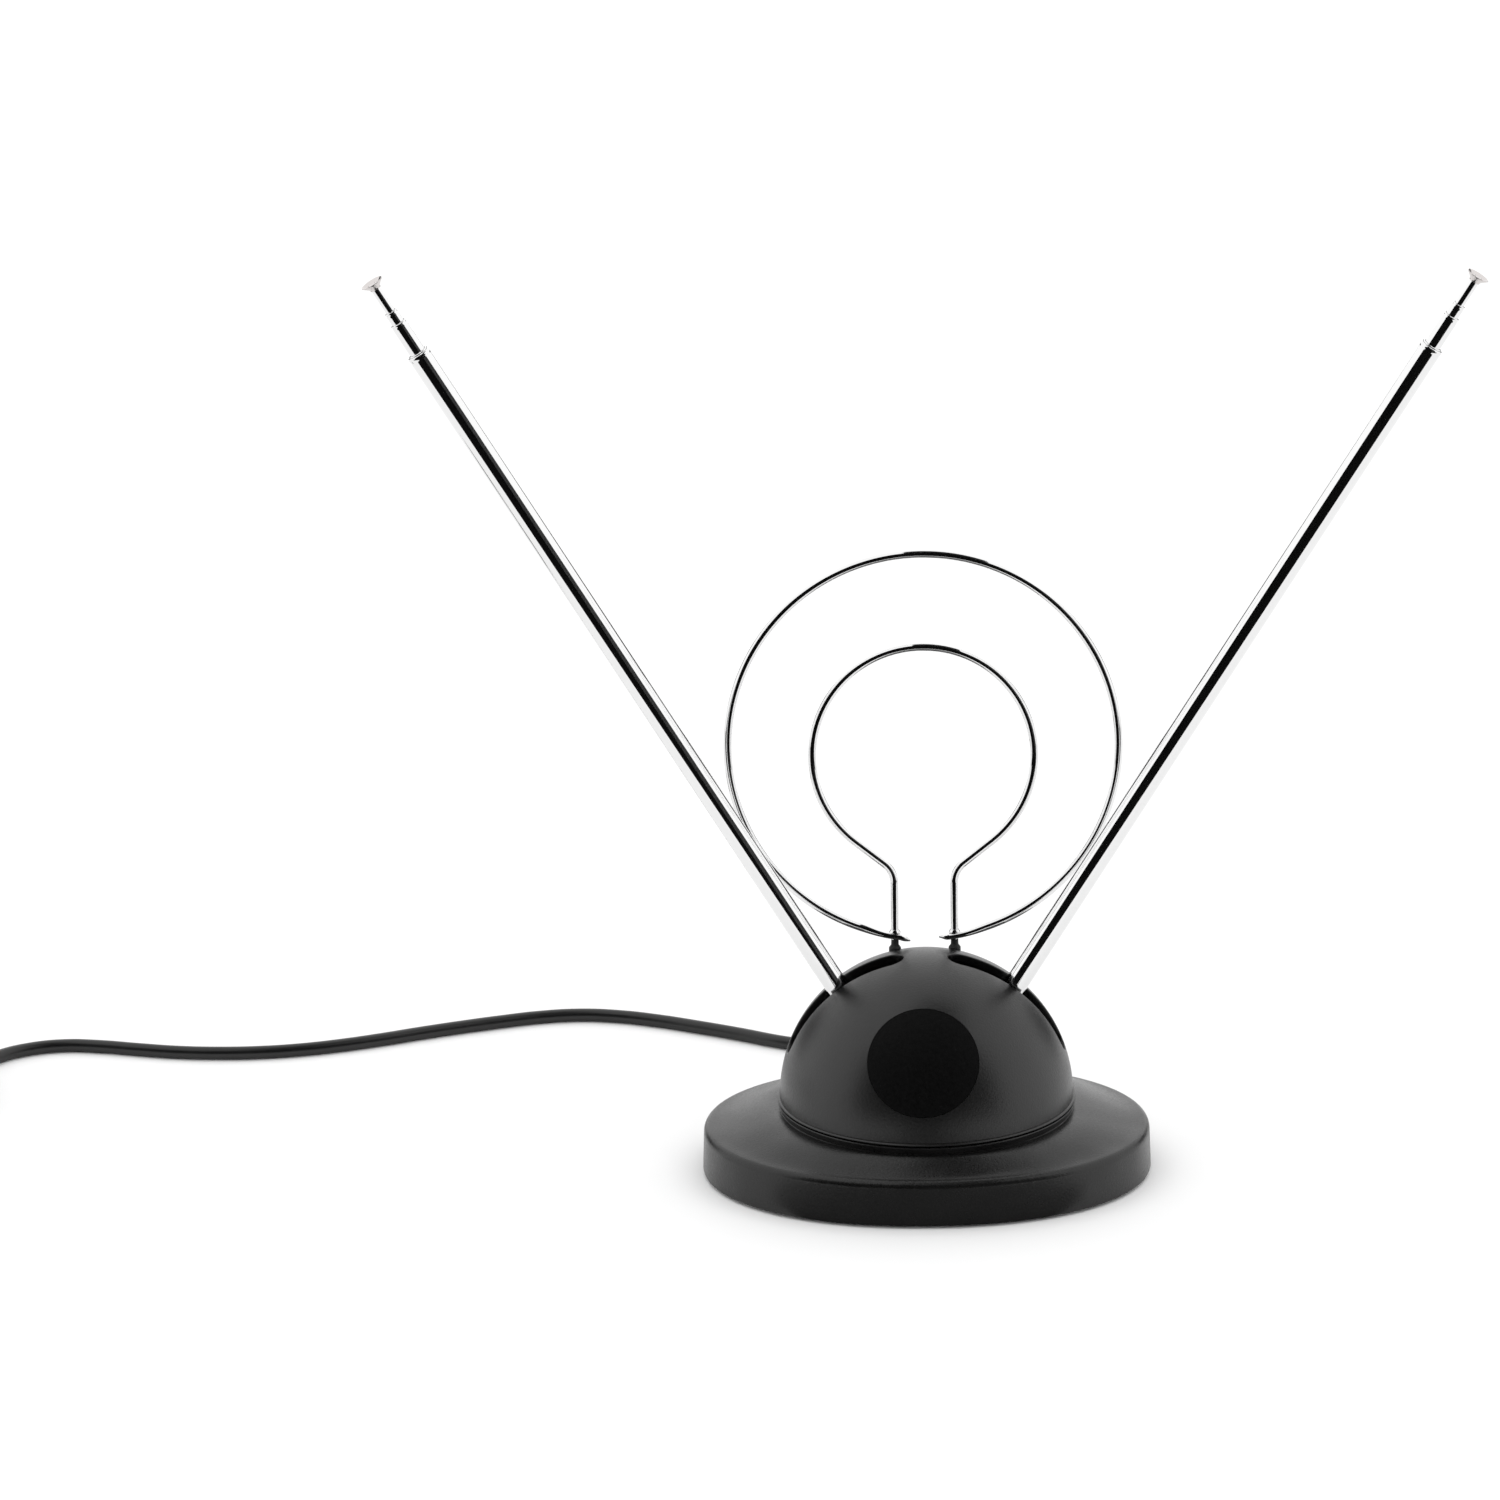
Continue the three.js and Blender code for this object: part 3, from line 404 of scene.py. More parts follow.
def coil_points():
    """The turns of the coil, wound clockwise in three layers, then the end that rises to the connector."""
    mean, pitch = COIL["mean"], COIL["pitch"]
    outer, inner = mean + pitch, mean - pitch
    layers = [CABLE_R, CABLE_R + pitch, CABLE_R + 2 * pitch]
    # each turn's radius and layer
    cells = [(outer, 0), (mean, 0), (inner, 0), (inner, 1), (mean, 1), (outer, 1), (outer, 2), (mean, 2)]
    start = Vector(CABLE_ROUTE[-1]) - Vector((COIL["x"], COIL["y"], 0))
    start_angle = math.atan2(start.y, start.x)
    start_radius = math.hypot(start.x, start.y)
    change, entry, step = math.radians(80), math.radians(50), math.radians(12)
    leave_angle, leave_rise, leave_over = math.radians(150), 1.4, math.radians(60)
    total = 2 * math.pi * 7 + start_angle + 2 * math.pi - leave_angle
    points = []
    for i in range(1, int(total / step)):
        turned = i * step
        turn = int(turned / (2 * math.pi))
        left = 2 * math.pi * (turn + 1) - turned
        share = smooth(1 - left / change) if turn + 1 < len(cells) else 0
        after = cells[min(turn + 1, len(cells) - 1)]
        radius = cells[turn][0] + (after[0] - cells[turn][0]) * share
        height = layers[cells[turn][1]] + (layers[after[1]] - layers[cells[turn][1]]) * share
        if turned < entry:
            u = turned / entry
            radius += (start_radius - radius) * (1 - u) ** 2
        height += leave_rise * smooth(1 - (total - turned) / leave_over)
        angle = start_angle - turned
        points.append((radius * math.cos(angle), radius * math.sin(angle), height))
    leave = Vector((mean * math.cos(leave_angle), mean * math.sin(leave_angle), 0))
    arrive = Vector((CONNECTOR["x"] - COIL["x"], CONNECTOR["y"] - COIL["y"], 0))
    pull, steps = 70, 14
    out = Vector((math.sin(leave_angle), -math.cos(leave_angle), 0)) * pull
    into = Vector((0, -1, 0)) * pull
    low, high = layers[2] + leave_rise, CONNECTOR["z"]
    for i in range(steps + 1):
        u = i / steps
        flat = (
            leave * (2 * u**3 - 3 * u**2 + 1)
            + out * (u**3 - 2 * u**2 + u)
            + arrive * (3 * u**2 - 2 * u**3)
            + into * (u**3 - u**2)
        )
        points.append((flat.x, flat.y, low + (high - low) * smooth(u * 1.05)))
    x, y, z = points[-1]
    points.append((x, y - 1.5, z))
    return [(x + COIL["x"], y + COIL["y"], z) for x, y, z in points]


def coaxial_lead():
    """The whole lead as one open curve, from inside the strain relief to inside the connector."""
    points = [(0, BOOT_END_Y - 3, EXIT_Z), *CABLE_ROUTE, *coil_points()]
    curve = bpy.data.curves.new("coax_lead", "CURVE")
    curve.dimensions = "3D"
    curve.bevel_depth = CABLE_R * MM
    curve.bevel_resolution = 5
    curve.resolution_u = 5
    curve.use_fill_caps = True
    spline = curve.splines.new("BEZIER")
    spline.bezier_points.add(len(points) - 1)
    for knot, point in zip(spline.bezier_points, points):
        knot.co = Vector(point) * MM
        knot.handle_left_type = knot.handle_right_type = "AUTO"
    curve.materials.append(MATERIALS["cable_jacket"])
    lead = new_object("coax_lead", curve)
    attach(lead, "root")
    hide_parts("coax_cable", "cable_coil")
    return lead


def strain_relief():
    """The ribbed, tapered boot in the rear wall, turned about its own axis. Its heights run to the back."""
    profile = [(0, 48.5), (3.9, 48.5), (3.9, 49.6), (3.3, 49.6), (3.3, 52.55), (4.6, 52.8), (4.6, 54.6), (4.15, 55.2)]
    low, high, ribs = 55.8, 73.2, 8
    wide, taper, groove = 4.15, 1.25, 0.55
    for i in range(ribs):
        start = low + (high - low) * i / ribs
        radius = wide - taper * (i + 0.5) / ribs
        run = (high - low) / ribs
        profile += [(radius - groove, start), (radius - groove, start + run * 0.32), (radius, start + run * 0.44),
                    (radius - 0.08, start + run * 0.98)]
    profile += [(2.7, 73.4), (2.65, 74.7), (2.45, BOOT_END_Y), (CABLE_R, BOOT_END_Y), (CABLE_R, 68), (0, 68)]
    part = lathe(rounded(profile, 0.12, 2), 40)
    lie = Matrix.Translation((0, 0, EXIT_Z)) @ Matrix.Rotation(-math.pi / 2, 4, "X")
    return mesh_piece("strain_relief", *moved(part, lie), "trim_rubber", "root", ["cable_boot"], 50)


def cable_strap():
    """A hook-and-loop strap round the coil's turns, with its free end lapped over."""
    half_wide, high = COIL["half_wide"] + 0.25, COIL["high"] - 0.25
    thick, lap_lift, half_strap, end_taper = 0.62, 0.75, 1.6, 0.35
    outline = [(-half_wide, 0.35), (half_wide, 0.35), (half_wide, high), (-half_wide, high)]
    ring = rounded(outline, 3.2, 8, closed=True)
    start = ring.index(max(ring, key=lambda p: (p[1], -p[0])))
    ring = ring[start:] + ring[:start]
    course = ring + ring[: len(ring) // 4]
    rows = []
    for i, (x, z) in enumerate(course):
        lift = lap_lift * smooth((i - len(ring) + 4) / 5)
        away = (Vector((x, z)) - Vector((0, high / 2))).normalized()
        inner, outer = Vector((x, z)) + away * lift, Vector((x, z)) + away * (lift + thick)
        inner.y, outer.y = max(inner.y, 0.12), max(outer.y, 0.1)
        width = half_strap * (1 - end_taper * smooth((i - len(course) + 4) / 3))
        rows.append([(inner.x, -width, inner.y), (inner.x, width, inner.y), (outer.x, width, outer.y),
                     (outer.x, -width, outer.y)])
    part = shifted(capped(rows), COIL["x"] - COIL["mean"], COIL["y"])
    return mesh_piece("cable_strap", *part, "trim_rubber", "root", ["cable_tie"], 40)


def coax_connector():
    """The crimped body, with its centre pin, and the smooth nut with a hexagonal end that turns on it."""
    lie = Matrix.Translation((CONNECTOR["x"], CONNECTOR["y"], CONNECTOR["z"])) @ Matrix.Rotation(math.pi / 2, 4, "X")
    bore, crimps = CABLE_R + 0.05, 4
    body = [(0, 2.5), (bore, 2.5), (bore, 0), (3.0, 0), (3.3, 0.5)]
    for i in range(crimps):
        low = 1.2 + i * 1.9
        body += [(3.4, low), (3.4, low + 1.2), (3.15, low + 1.4), (3.15, low + 1.7)]
    body += [(3.4, 9.0), (4.4, 9.6), (4.4, 12.0), (2.6, 12.4), (2.6, 15), (1.9, 15), (1.9, 13.2), (0.5, 13.2),
             (0.5, 21.8), (0.3, 22.3), (0, 22.4)]
    part = moved(lathe(rounded(body, 0.15, 2), 40), lie)
    shell = mesh_piece("connector_shell", *part, "connector_nickel", "root", ["connector_body"], 45)

    section = [(3.8, 15.4), (3.8, 20.5), (4.75, 20.5), (4.75, 12.8), (2.95, 12.8), (2.95, 15.4)]
    vertices, faces = lathe(rounded(section, 0.25, 3, closed=True), 72, closed=True)
    half_flats, bore_limit, hexagon_end = 4.24, 4.3, 20.2
    shaped = []
    for x, y, z in vertices:
        radius, angle = math.hypot(x, y), math.atan2(y, x)
        if radius > bore_limit and z < hexagon_end:
            radius = min(radius, half_flats / math.cos(angle % (math.pi / 3) - math.pi / 6))
        shaped.append((radius * math.cos(angle), radius * math.sin(angle), z))
    part = moved((shaped, faces), lie)
    ring = mesh_piece("connector_ring", *part, "connector_nickel", "root", ["connector_nut"], 12)
    return shell, ring


lead = coaxial_lead()
relief = strain_relief()
strap = cable_strap()
connector_pieces = coax_connector()

# ---------------------------------------------------------------- base


def base_row(z, inset, share=0.0, radius=0.0):
    """One ring of the base: the oval, drawn in by inset, moved towards a circle by share."""
    count, power = 176, 2 / BASE["power"]
    row = []
    for i in range(count):
        angle = 2 * math.pi * i / count
        c, s = math.cos(angle), math.sin(angle)
        x = (BASE["half_x"] - inset) * math.copysign(abs(c) ** power, c)
        y = (BASE["half_y"] - inset) * math.copysign(abs(s) ** power, s)
        row.append((x + (radius * c - x) * share, y + (radius * s - y) * share, z))
    return row


def base_cover():
    """The moulded base: a drafted wall, a soft rim, a slope that rises in an S to the collar, and the deck."""
    low, rim, soft, wall = BASE["low"], BASE["rim_z"], BASE["rim_round"], BASE["wall"]
    foot, draft, rim_turn = 0.7, 0.35, math.radians(75)
    rows = [base_row(low, 0.9), base_row(low + 0.08, 0.55), base_row(low + 0.3, 0.2), base_row(low + foot, 0.05)]
    for k in range(1, 6):
        rows.append(base_row(low + foot + (rim - soft - low - foot) * k / 5, 0.05 + (draft - 0.05) * k / 5))
    for k in range(1, 9):
        angle = rim_turn * k / 8
        rows.append(base_row(rim - soft * (1 - math.sin(angle)), draft + soft * (1 - math.cos(angle))))
    steps, start = 18, rim - soft * (1 - math.sin(rim_turn))
    for k in range(1, steps + 1):
        u = k / steps
        rise = 0.33 * u + 0.67 * smooth(u)
        height = start + (COLLAR["low"] + 0.5 - start) * rise
        rows.append(base_row(height, draft + soft * (1 - math.cos(rim_turn)), u, COLLAR["radius"] - 0.6))
    foot_z, top, radius = COLLAR["low"], COLLAR["deck_top"], COLLAR["radius"]
    collar = [(radius - 0.72, foot_z + 0.6), (radius - 0.68, foot_z + 0.75), (radius - 0.04, top - 0.5),
              (radius, top - 0.35), (radius - 0.02, top - 0.2), (radius - 0.1, top - 0.08), (radius - 0.25, top),
              (radius - 3, top), (12, top), (0.001, top)]
    under = [(0.001, COLLAR["deck_low"]), (12, COLLAR["deck_low"]), (COLLAR["hollow"], COLLAR["deck_low"])]
    rows += [base_row(z, 0, 1, r) for r, z in collar + under]
    slope_low, slope_high = 12.3, 17.4
    for k in range(8, -1, -1):
        u = k / 8
        height = slope_low + (slope_high - slope_low) * smooth(u)
        rows.append(base_row(height, wall + 2.2, u, COLLAR["hollow"]))
    rows += [base_row(11.2, wall + 0.2), base_row(low + 0.2, wall), base_row(low, wall - 0.2)]
    vertices = [v for row in rows for v in row]
    faces = rows_faces(len(rows), len(rows[0]), wrap_rows=True)
    cover = mesh_piece("base_cover", vertices, faces, "base_plastic", "root", ["base_shell"], 30)
    lead_hole = shifted(lathe([(0, 17), (5, 17), (5, 25), (0, 25)], 40), 0, 20)
    cut(cover, lead_hole)
    soften(cover, 30)


def corners(half_x, half_y):
    """The four corners' names, with their places at those distances from the middle."""
    return [(name, x * half_x, y * half_y) for name, x, y in CORNERS]


def drilled_plate():
    """The bottom plate, with recesses for the feet and for the screw heads."""
    inset = BASE["wall"] + GAP
    edge = [(0.8, 4), (0.95, 0.9), (0.82, 0.35), (0.95, 0.05), (1.2, 0), (3.2, 0), (3.2, 6)]
    part = capped([base_row(z, inset + more) for z, more in edge])
    plate = mesh_piece("bottom_cover", *part, "inner_plastic", "root", ["bottom_plate"], 30)
    foot_hole = lathe([(0, 0), (6.5, 0), (6.5, 1.8), (0, 1.8)], 40)
    screw_hole = lathe([(0, 0), (3.1, 0), (3.1, 2.2), (1.7, 2.2), (1.7, 4), (0, 4)], 32)
    holes = [shifted(foot_hole, x, y) for _, x, y in corners(FOOT_X, FOOT_Y)]
    holes += [shifted(screw_hole, x, y) for _, x, y in corners(SCREW_X, SCREW_Y)]
    cut(plate, *holes)
    soften(plate, 30)


def rubber_feet():
    """Four moulded feet with a soft edge and a shallow dish in the sole."""
    profile = rounded([(0, 0.12), (2.6, 0.12), (3.0, 0.0), (5.7, 0.0), (6.2, 0.5), (6.2, 1.5), (0, 1.5)], 0.25, 4)
    for name, x, y in corners(FOOT_X, FOOT_Y):
        part = shifted(lathe(profile, 40), x, y)
        mesh_piece(f"rubber_foot_{name}", *part, "feet_rubber", "root", [f"foot_{name}"])


def cross_recess():
    """The two arms of a screw head's cross, from above z = 0 to 0.7 below it, narrower at the bottom."""
    arms = []
    sides = [(i, (i + 1) % 4, 4 + (i + 1) % 4, 4 + i) for i in range(4)]
    for half_x, half_y in ((1.5, 0.32), (0.32, 1.5)):
        outline = [(-half_x, -half_y), (half_x, -half_y), (half_x, half_y), (-half_x, half_y)]
        top = [(x, y, 0.4) for x, y in outline]
        bottom = [(x * 0.5, y * 0.8, -0.7) for x, y in outline]
        arms.append((top + bottom, [(0, 1, 2, 3), (7, 6, 5, 4), *sides]))
    return arms


def bottom_screws():
    """Pan-head screws in the bottom plate's recesses, each with its cross at an angle of its own."""
    head_z, head_high = 1.9, 0.9
    head = [(0, -8), (1.1, -8), (1.25, -7.4), (1.25, 0), (2.8, 0), (2.75, 0.35), (1.9, 0.86), (0, head_high)]
    for name, x, y in corners(SCREW_X, SCREW_Y):
        lie = Matrix.Translation((x, y, head_z)) @ Matrix.Rotation(math.pi, 4, "X")
        part = moved(lathe(rounded(head, 0.12, 3), 28), lie)
        screw = mesh_piece(f"plate_screw_{name}", *part, "zinc_steel", "root", [f"bottom_screw_{name}"])
        angle = 0.3 + 0.7 * x / SCREW_X + 0.4 * y / SCREW_Y
        turn = lie @ Matrix.Translation((0, 0, head_high)) @ Matrix.Rotation(angle, 4, "Z")
        cut(screw, *[moved(arm, turn) for arm in cross_recess()])
        soften(screw, 35)


base_cover()
drilled_plate()
rubber_feet()
bottom_screws()

# ---------------------------------------------------------------- dome and badge

HALF_RING = 80  # points along half of a ring of the dome


def slot_ring(offset, depth):
    """Points round the right side's slot, that far from the slot's middle line and that deep in the shell. The
    first is above the upper end, and they run down the front edge first."""
    shell = DOME["radius"] - depth
    flat = math.sqrt(shell * shell - offset * offset)
    top, low = math.radians(SLOT["top_deg"]), math.radians(SLOT["low_deg"])

    def end_point(at, side, turned):
        out = Vector((math.sin(at), 0, math.cos(at)))
        along = Vector((math.cos(at), 0, -math.sin(at))) * side
        return out * flat + along * offset * math.cos(turned) + Vector((0, -1, 0)) * offset * math.sin(turned)

    straight = flat * (low - top)
    quarter = offset * math.pi / 2
    lengths = [quarter, straight, quarter]
    points = []
    for i in range(HALF_RING + 1):
        at = sum(lengths) * i / HALF_RING
        if at <= lengths[0]:
            points.append(end_point(top, -1, at / offset))
        elif at <= lengths[0] + straight:
            points.append(end_point(top + (at - lengths[0]) / flat, -1, math.pi / 2))
        else:
            points.append(end_point(low, 1, (sum(lengths) - at) / offset))
    return points + mirrored_back(points)


def mirrored_back(points):
    """The points between the first and the last of a half ring, mirrored to the back and in reverse."""
    return [Vector((p.x, -p.y, p.z)) for p in points[-2:0:-1]]


def rim_ring(radius):
    """The edge of the right half of the dome, numbered as the slot's ring is: over the top to the front, then
    round the equator to the back, then up to the top."""
    points = []
    for i in range(HALF_RING + 1):
        angle = math.pi * i / HALF_RING
        if angle <= math.pi / 2:
            points.append(Vector((0, -math.sin(angle), math.cos(angle))) * radius)
        else:
            points.append(Vector((math.sin(angle - math.pi / 2), -math.cos(angle - math.pi / 2), 0)) * radius)
    return points + mirrored_back(points)


def between(first, last, steps, radius):
    """Rings on the sphere from one ring to the other, both left out, closer together near the first."""
    rings = []
    for k in range(1, steps):
        share = (k / steps) ** 1.25
        rings.append([(a.lerp(b, share)).normalized() * radius for a, b in zip(first, last)])
    return rings


def half_dome():
    """The right half of the dome's shell, as rows from its outer edge, in at the slot, and back out inside."""
    radius, inner = DOME["radius"], DOME["inner"]
    half = SLOT["half_width"]
    thick = radius - inner
    edge, steps = 0.5, 5
    outer_ring = slot_ring(half + edge + 2.2, 0)
    rows = [rim_ring(radius)]
    rows += reversed(between(outer_ring, rows[0], 26, radius))
    rows += [outer_ring] + [slot_ring(half + edge + e, 0) for e in (1.3, 0.6, 0.25)]
    for k in range(steps + 1):
        angle = math.radians(90) * k / steps
        rows.append(slot_ring(half + edge * (1 - math.sin(angle)), edge * (1 - math.cos(angle))))
    collar = [(half, thick), (half + 0.35, thick + 0.05), (half + 0.35, thick + 1.3), (half + 0.75, thick + 1.35),
              (half + 0.75, thick + 2.9), (half + 1.9, thick + 2.9), (half + 2.0, thick)]
    rows += [slot_ring(offset, depth) for offset, depth in collar]
    last = rim_ring(inner)
    rows += between(rows[-1], last, 8, inner)
    rows.append(last)
    return rows


def dome_cover():
    """The dome: two mirrored halves on a bead, with the badge's recess and the holes for the grommets."""
    rows = half_dome()
    faces = rows_faces(len(rows), len(rows[0]))
    right = [tuple(p) for row in rows for p in row]
    left = [(-x, y, z) for x, y, z in right]
    bead = [(43.5, 0), (43.72, -0.02), (44.08, -0.22), (44.24, -0.42), (44.2, -0.62), (43.95, -0.8), (41.3, -0.8),
            (41.3, 0)]
    part = joined((right, faces), (left, faces), lathe(bead, 2 * HALF_RING))
    up = Matrix.Translation((0, 0, DOME["z"]))
    cover = mesh_piece("dome_cover", *moved(part, up), "dome_plastic", "root", ["dome_shell"], 40)
    recess = badge_shape(BADGE["radius"] + BADGE["clear"], DOME["radius"] - BADGE["thick"] - GAP, DOME["radius"] + 3)
    hole = lathe([(0, -4), (1.9, -4), (1.9, 9), (0, 9)], 32)
    cut(cover, recess, *[moved(shifted(hole, x, 0), LOOP_PLACE) for x in (-LEG_X, LEG_X)])
    set_round_normals(cover)


def badge_shape(radius, inner, outer, soft=0):
    """A disc round the badge's axis between two spheres, with its outer edge rounded by soft."""
    rings, sides = 12, 96
    rows = [(radius * k / rings, inner) for k in range(rings + 1)]
    if soft:
        angles = [math.radians(15 * k) for k in range(7)]
        rows += [(radius - soft * (1 - math.cos(a)), outer - soft * (1 - math.sin(a))) for a in angles]
    else:
        rows.append((radius, (inner + outer) / 2))
    rows += [(radius * k / rings * (1 - soft / radius), outer) for k in range(rings, -1, -1)]
    turn = Matrix.Rotation(-math.radians(BADGE["turn_deg"]), 4, "Z")
    lean = Matrix.Rotation(math.pi / 2 - math.radians(BADGE["tilt_deg"]), 4, "X")
    profile = [(r, math.sqrt(sphere * sphere - r * r)) for r, sphere in rows]
    return moved(lathe(profile, sides), Matrix.Translation((0, 0, DOME["z"])) @ turn @ lean)


def set_round_normals(piece):
    """Gives the faces on the dome's outer sphere the sphere's own normals, so that the cuts don't shade them."""
    soften(piece, 30)
    mesh = piece.data
    centre, on_sphere = Vector((0, 0, DOME["z"])) * MM, 0.05
    normals = [Vector(c.vector) for c in mesh.corner_normals]
    for face in mesh.polygons:
        distances = [(mesh.vertices[v].co - centre).length / MM for v in face.vertices]
        if max(abs(d - DOME["radius"]) for d in distances) < on_sphere and face.center.z > centre.z:
            for loop in face.loop_indices:
                normals[loop] = (mesh.vertices[mesh.loops[loop].vertex_index].co - centre).normalized()
    mesh.normals_split_custom_set(normals)


def badge_disc():
    """The plain badge, a matt disc that follows the dome and sits flush in its recess."""
    part = badge_shape(BADGE["radius"], DOME["radius"] - BADGE["thick"], DOME["radius"] - 0.04, 0.12)
    mesh_piece("badge_disc", *part, "badge_film", "root", ["badge"], 50)


dome_cover()
badge_disc()

# ---------------------------------------------------------------- rods


def rod_place(side):
    """Where a rod's own frame is: its pivot, with +Z along the rod."""
    sign, lean = SIDES[side]
    pivot = Vector((sign * PIVOT_X, 0, PIVOT_Z)) * MM
    return Matrix.Translation(pivot) @ Matrix.Rotation(sign * math.radians(lean), 4, "Y")


def tube_profile(radius, low, high, swell):
    """A drawn tube: a plain lower end, and an upper end that has a bead of that height, or a neck if it is below
    zero, and is rolled in on the next tube."""
    bore = radius - TUBE_WALL
    bead = [(0.23, 1.35), (0.77, 1.1), (1, 0.85), (0.77, 0.6)]
    mouth = [(0.06, 0.2), (0.16, 0.07), (0.28, 0), (0.42, 0.05), (0.44, 0.3)]
    outline = [(bore, low), (radius - 0.1, low), (radius, low + 0.15), (radius, high - 1.55)]
    outline += [(radius + share * swell, high - down) for share, down in bead]
    outline.append((radius + min(0.15 * swell, 0), high - 0.38))
    outline += [(radius - inwards, high - down) for inwards, down in mouth]
    return outline + [(bore, high - 0.9)]


def telescopic_rod(side):
    """The four tubes, the tip rod and the button of one rod. Each rides on its own section."""
    place = rod_place(side)
    for name, body, radius, low, high in SECTIONS:
        part = lathe(tube_profile(radius, low, high, BEAD if name == "tube_7" else -NECK), 64, closed=True)
        mesh_piece(f"{side}_drawn_{name}", *part, "rod_chrome", f"{side}_{body}", [f"{side}_{name}"], 40, place)
    radius, low, high = TIP_ROD["radius"], TIP_ROD["low"], TIP_ROD["high"]
    rod = rounded([(0, low), (radius, low), (radius, high), (0, high)], 0.3, 3)
    mesh_piece(f"{side}_tip_wire", *lathe(rod, 48), "rod_chrome", f"{side}_tip", [f"{side}_tip_rod"], 40, place)
    button = rounded([
        (0, 286.1), (1.55, 286.1), (1.55, 284.9), (1.72, 284.85), (1.78, 285.3), (2.3, 285.85), (3.3, 286.7),
        (3.5, 286.98), (3.45, 287.1), (3.3, 287.1), (2.7, 286.72), (2.2, 286.35), (1.75, 286.3), (1.35, 286.62),
        (0.9, 286.7), (0.5, 286.5), (0, 286.42),
    ], 0.12, 3)
    mesh_piece(f"{side}_button", *lathe(button, 64), "rod_chrome", f"{side}_tip", [f"{side}_tip_cap"], 60, place,
               BUTTON_LOOK)


for side_name in SIDES:
    telescopic_rod(side_name)

# ---------------------------------------------------------------- UHF loops

OFF_PLANE = Vector((0, -1, 0))


def arc(centre, radius, start_deg, end_deg, count):
    """Points on a circle in the loops' plane, from one angle to another, 0 being +X."""
    angles = [math.radians(start_deg + (end_deg - start_deg) * i / count) for i in range(count + 1)]
    return [Vector((radius * math.cos(a), 0, centre + radius * math.sin(a))) for a in angles]


def inner_loop():
    """The inner loop: one round wire, with legs that bend outwards into a circle."""
    radius, centre, bend = INNER_LOOP["radius"], INNER_LOOP["centre"], INNER_LOOP["bend"]
    away = math.hypot(LEG_X, centre - bend)
    leave = math.degrees(math.atan2(bend - centre, LEG_X) + math.acos(radius / away))
    start = arc(centre, radius, leave, leave, 1)[0]
    outline = [(LEG_X, INNER_LOOP["leg_low"]), (LEG_X, bend), (start.x, start.z)]
    bent = [Vector((x, 0, z)) for x, z in rounded(outline, INNER_LOOP["bend_round"], 10)]
    stem_end = [STEM_TOP - 0.05, STEM_TOP + 0.05]
    right = bent[:1] + [Vector((LEG_X, 0, z)) for z in (0, *stem_end, 12, 18)] + bent[1:-1]
    left = [Vector((-p.x, 0, p.z)) for p in reversed(right)]
    path = right + arc(centre, radius, leave, 180 - leave, 96) + left
    thick = [STEM_R - 0.02 if point.z < STEM_TOP else WIRE_R for point in path]
    part = tube_along(path, [oval(r, r) for r in thick], OFF_PLANE)
    mesh_piece("inner_wire_loop", *moved(part, LOOP_PLACE), "loop_chrome", "root", ["uhf_inner_loop"], 50)


def outer_loop():
    """The outer loop: round wire whose ends are pressed flatter round the legs and cut to a point."""
    radius, centre = OUTER_LOOP["radius"], OUTER_LOOP["centre"]
    past_leg, end_deg, end_steps, round_steps = 4.6, 14, 56, 300
    flat_thick, flat_wide = 0.92, 1.85
    leg_deg = math.degrees(math.asin(LEG_X / radius))
    point_deg = math.degrees(math.asin((LEG_X - past_leg) / radius))
    first, last = -90 + point_deg, 270 - point_deg
    turn = [first + end_deg * k / end_steps for k in range(end_steps)]
    turn += [first + end_deg + (last - first - 2 * end_deg) * k / round_steps for k in range(round_steps)]
    turn += [last - end_deg + end_deg * k / end_steps for k in range(end_steps + 1)]
    path, sections = [], []
    for degrees in turn:
        place = arc(centre, radius, degrees, degrees, 1)[0]
        from_bottom = math.degrees(math.atan2(abs(place.x), centre - place.z))
        beyond = math.radians(from_bottom - leg_deg) * radius  # how far round from the leg, in millimetres
        flat = 1 - smooth((beyond - 1.5) / 9)
        taper = smooth((beyond + 5.2) / 3.0)
        thick = (WIRE_R + (flat_thick - WIRE_R) * flat) * (0.28 + 0.72 * taper)
        wide = (WIRE_R + (flat_wide - WIRE_R) * flat) * (0.3 + 0.7 * taper)
        tail = 1 - smooth((beyond + past_leg) / 3.2)
        droop = -0.3 * flat + (-0.75 if place.x < 0 else 0.25) * tail
        path.append(place + Vector((0, 0, droop)))
        sections.append(oval(thick, wide, 24, 2 + 1.4 * flat))
    part = tube_along(path, sections, OFF_PLANE)
    mesh_piece("outer_wire_loop", *moved(part, LOOP_PLACE), "loop_chrome", "root", ["uhf_outer_loop"], 50)


def leg_trim():
    """On each leg: the dome's slim grommet, and a swaged ring that holds the outer loop's end down."""
    bore = WIRE_R + 0.05
    grommet = [(STEM_R, -2.6), (3.8, -2.6), (3.8, -1.2), (1.8, -1.2), (1.8, 4.7), (1.55, 5.1), (1.15, 5.6),
               (1.1, 7.1), (STEM_R, 7.2)]
    ring = [(bore, 8.95), (1.75, 8.95), (1.75, 9.35), (1.4, 10.0), (bore, 10.2)]
    grommet_part = lathe(rounded(grommet, 0.25, 3, closed=True), 40, closed=True)
    ring_part = lathe(rounded(ring, 0.18, 3, closed=True), 40, closed=True)
    for name, (sign, _) in SIDES.items():
        put = LOOP_PLACE @ Matrix.Translation((sign * LEG_X, 0, 0))
        mesh_piece(f"{name}_leg_grommet", *moved(grommet_part, put), "trim_rubber", "root", [f"{name}_loop_grommet"])
        mesh_piece(f"{name}_leg_ring", *moved(ring_part, put), "loop_chrome", "root")


inner_loop()
outer_loop()
leg_trim()

# ---------------------------------------------------------------- studio, in metres

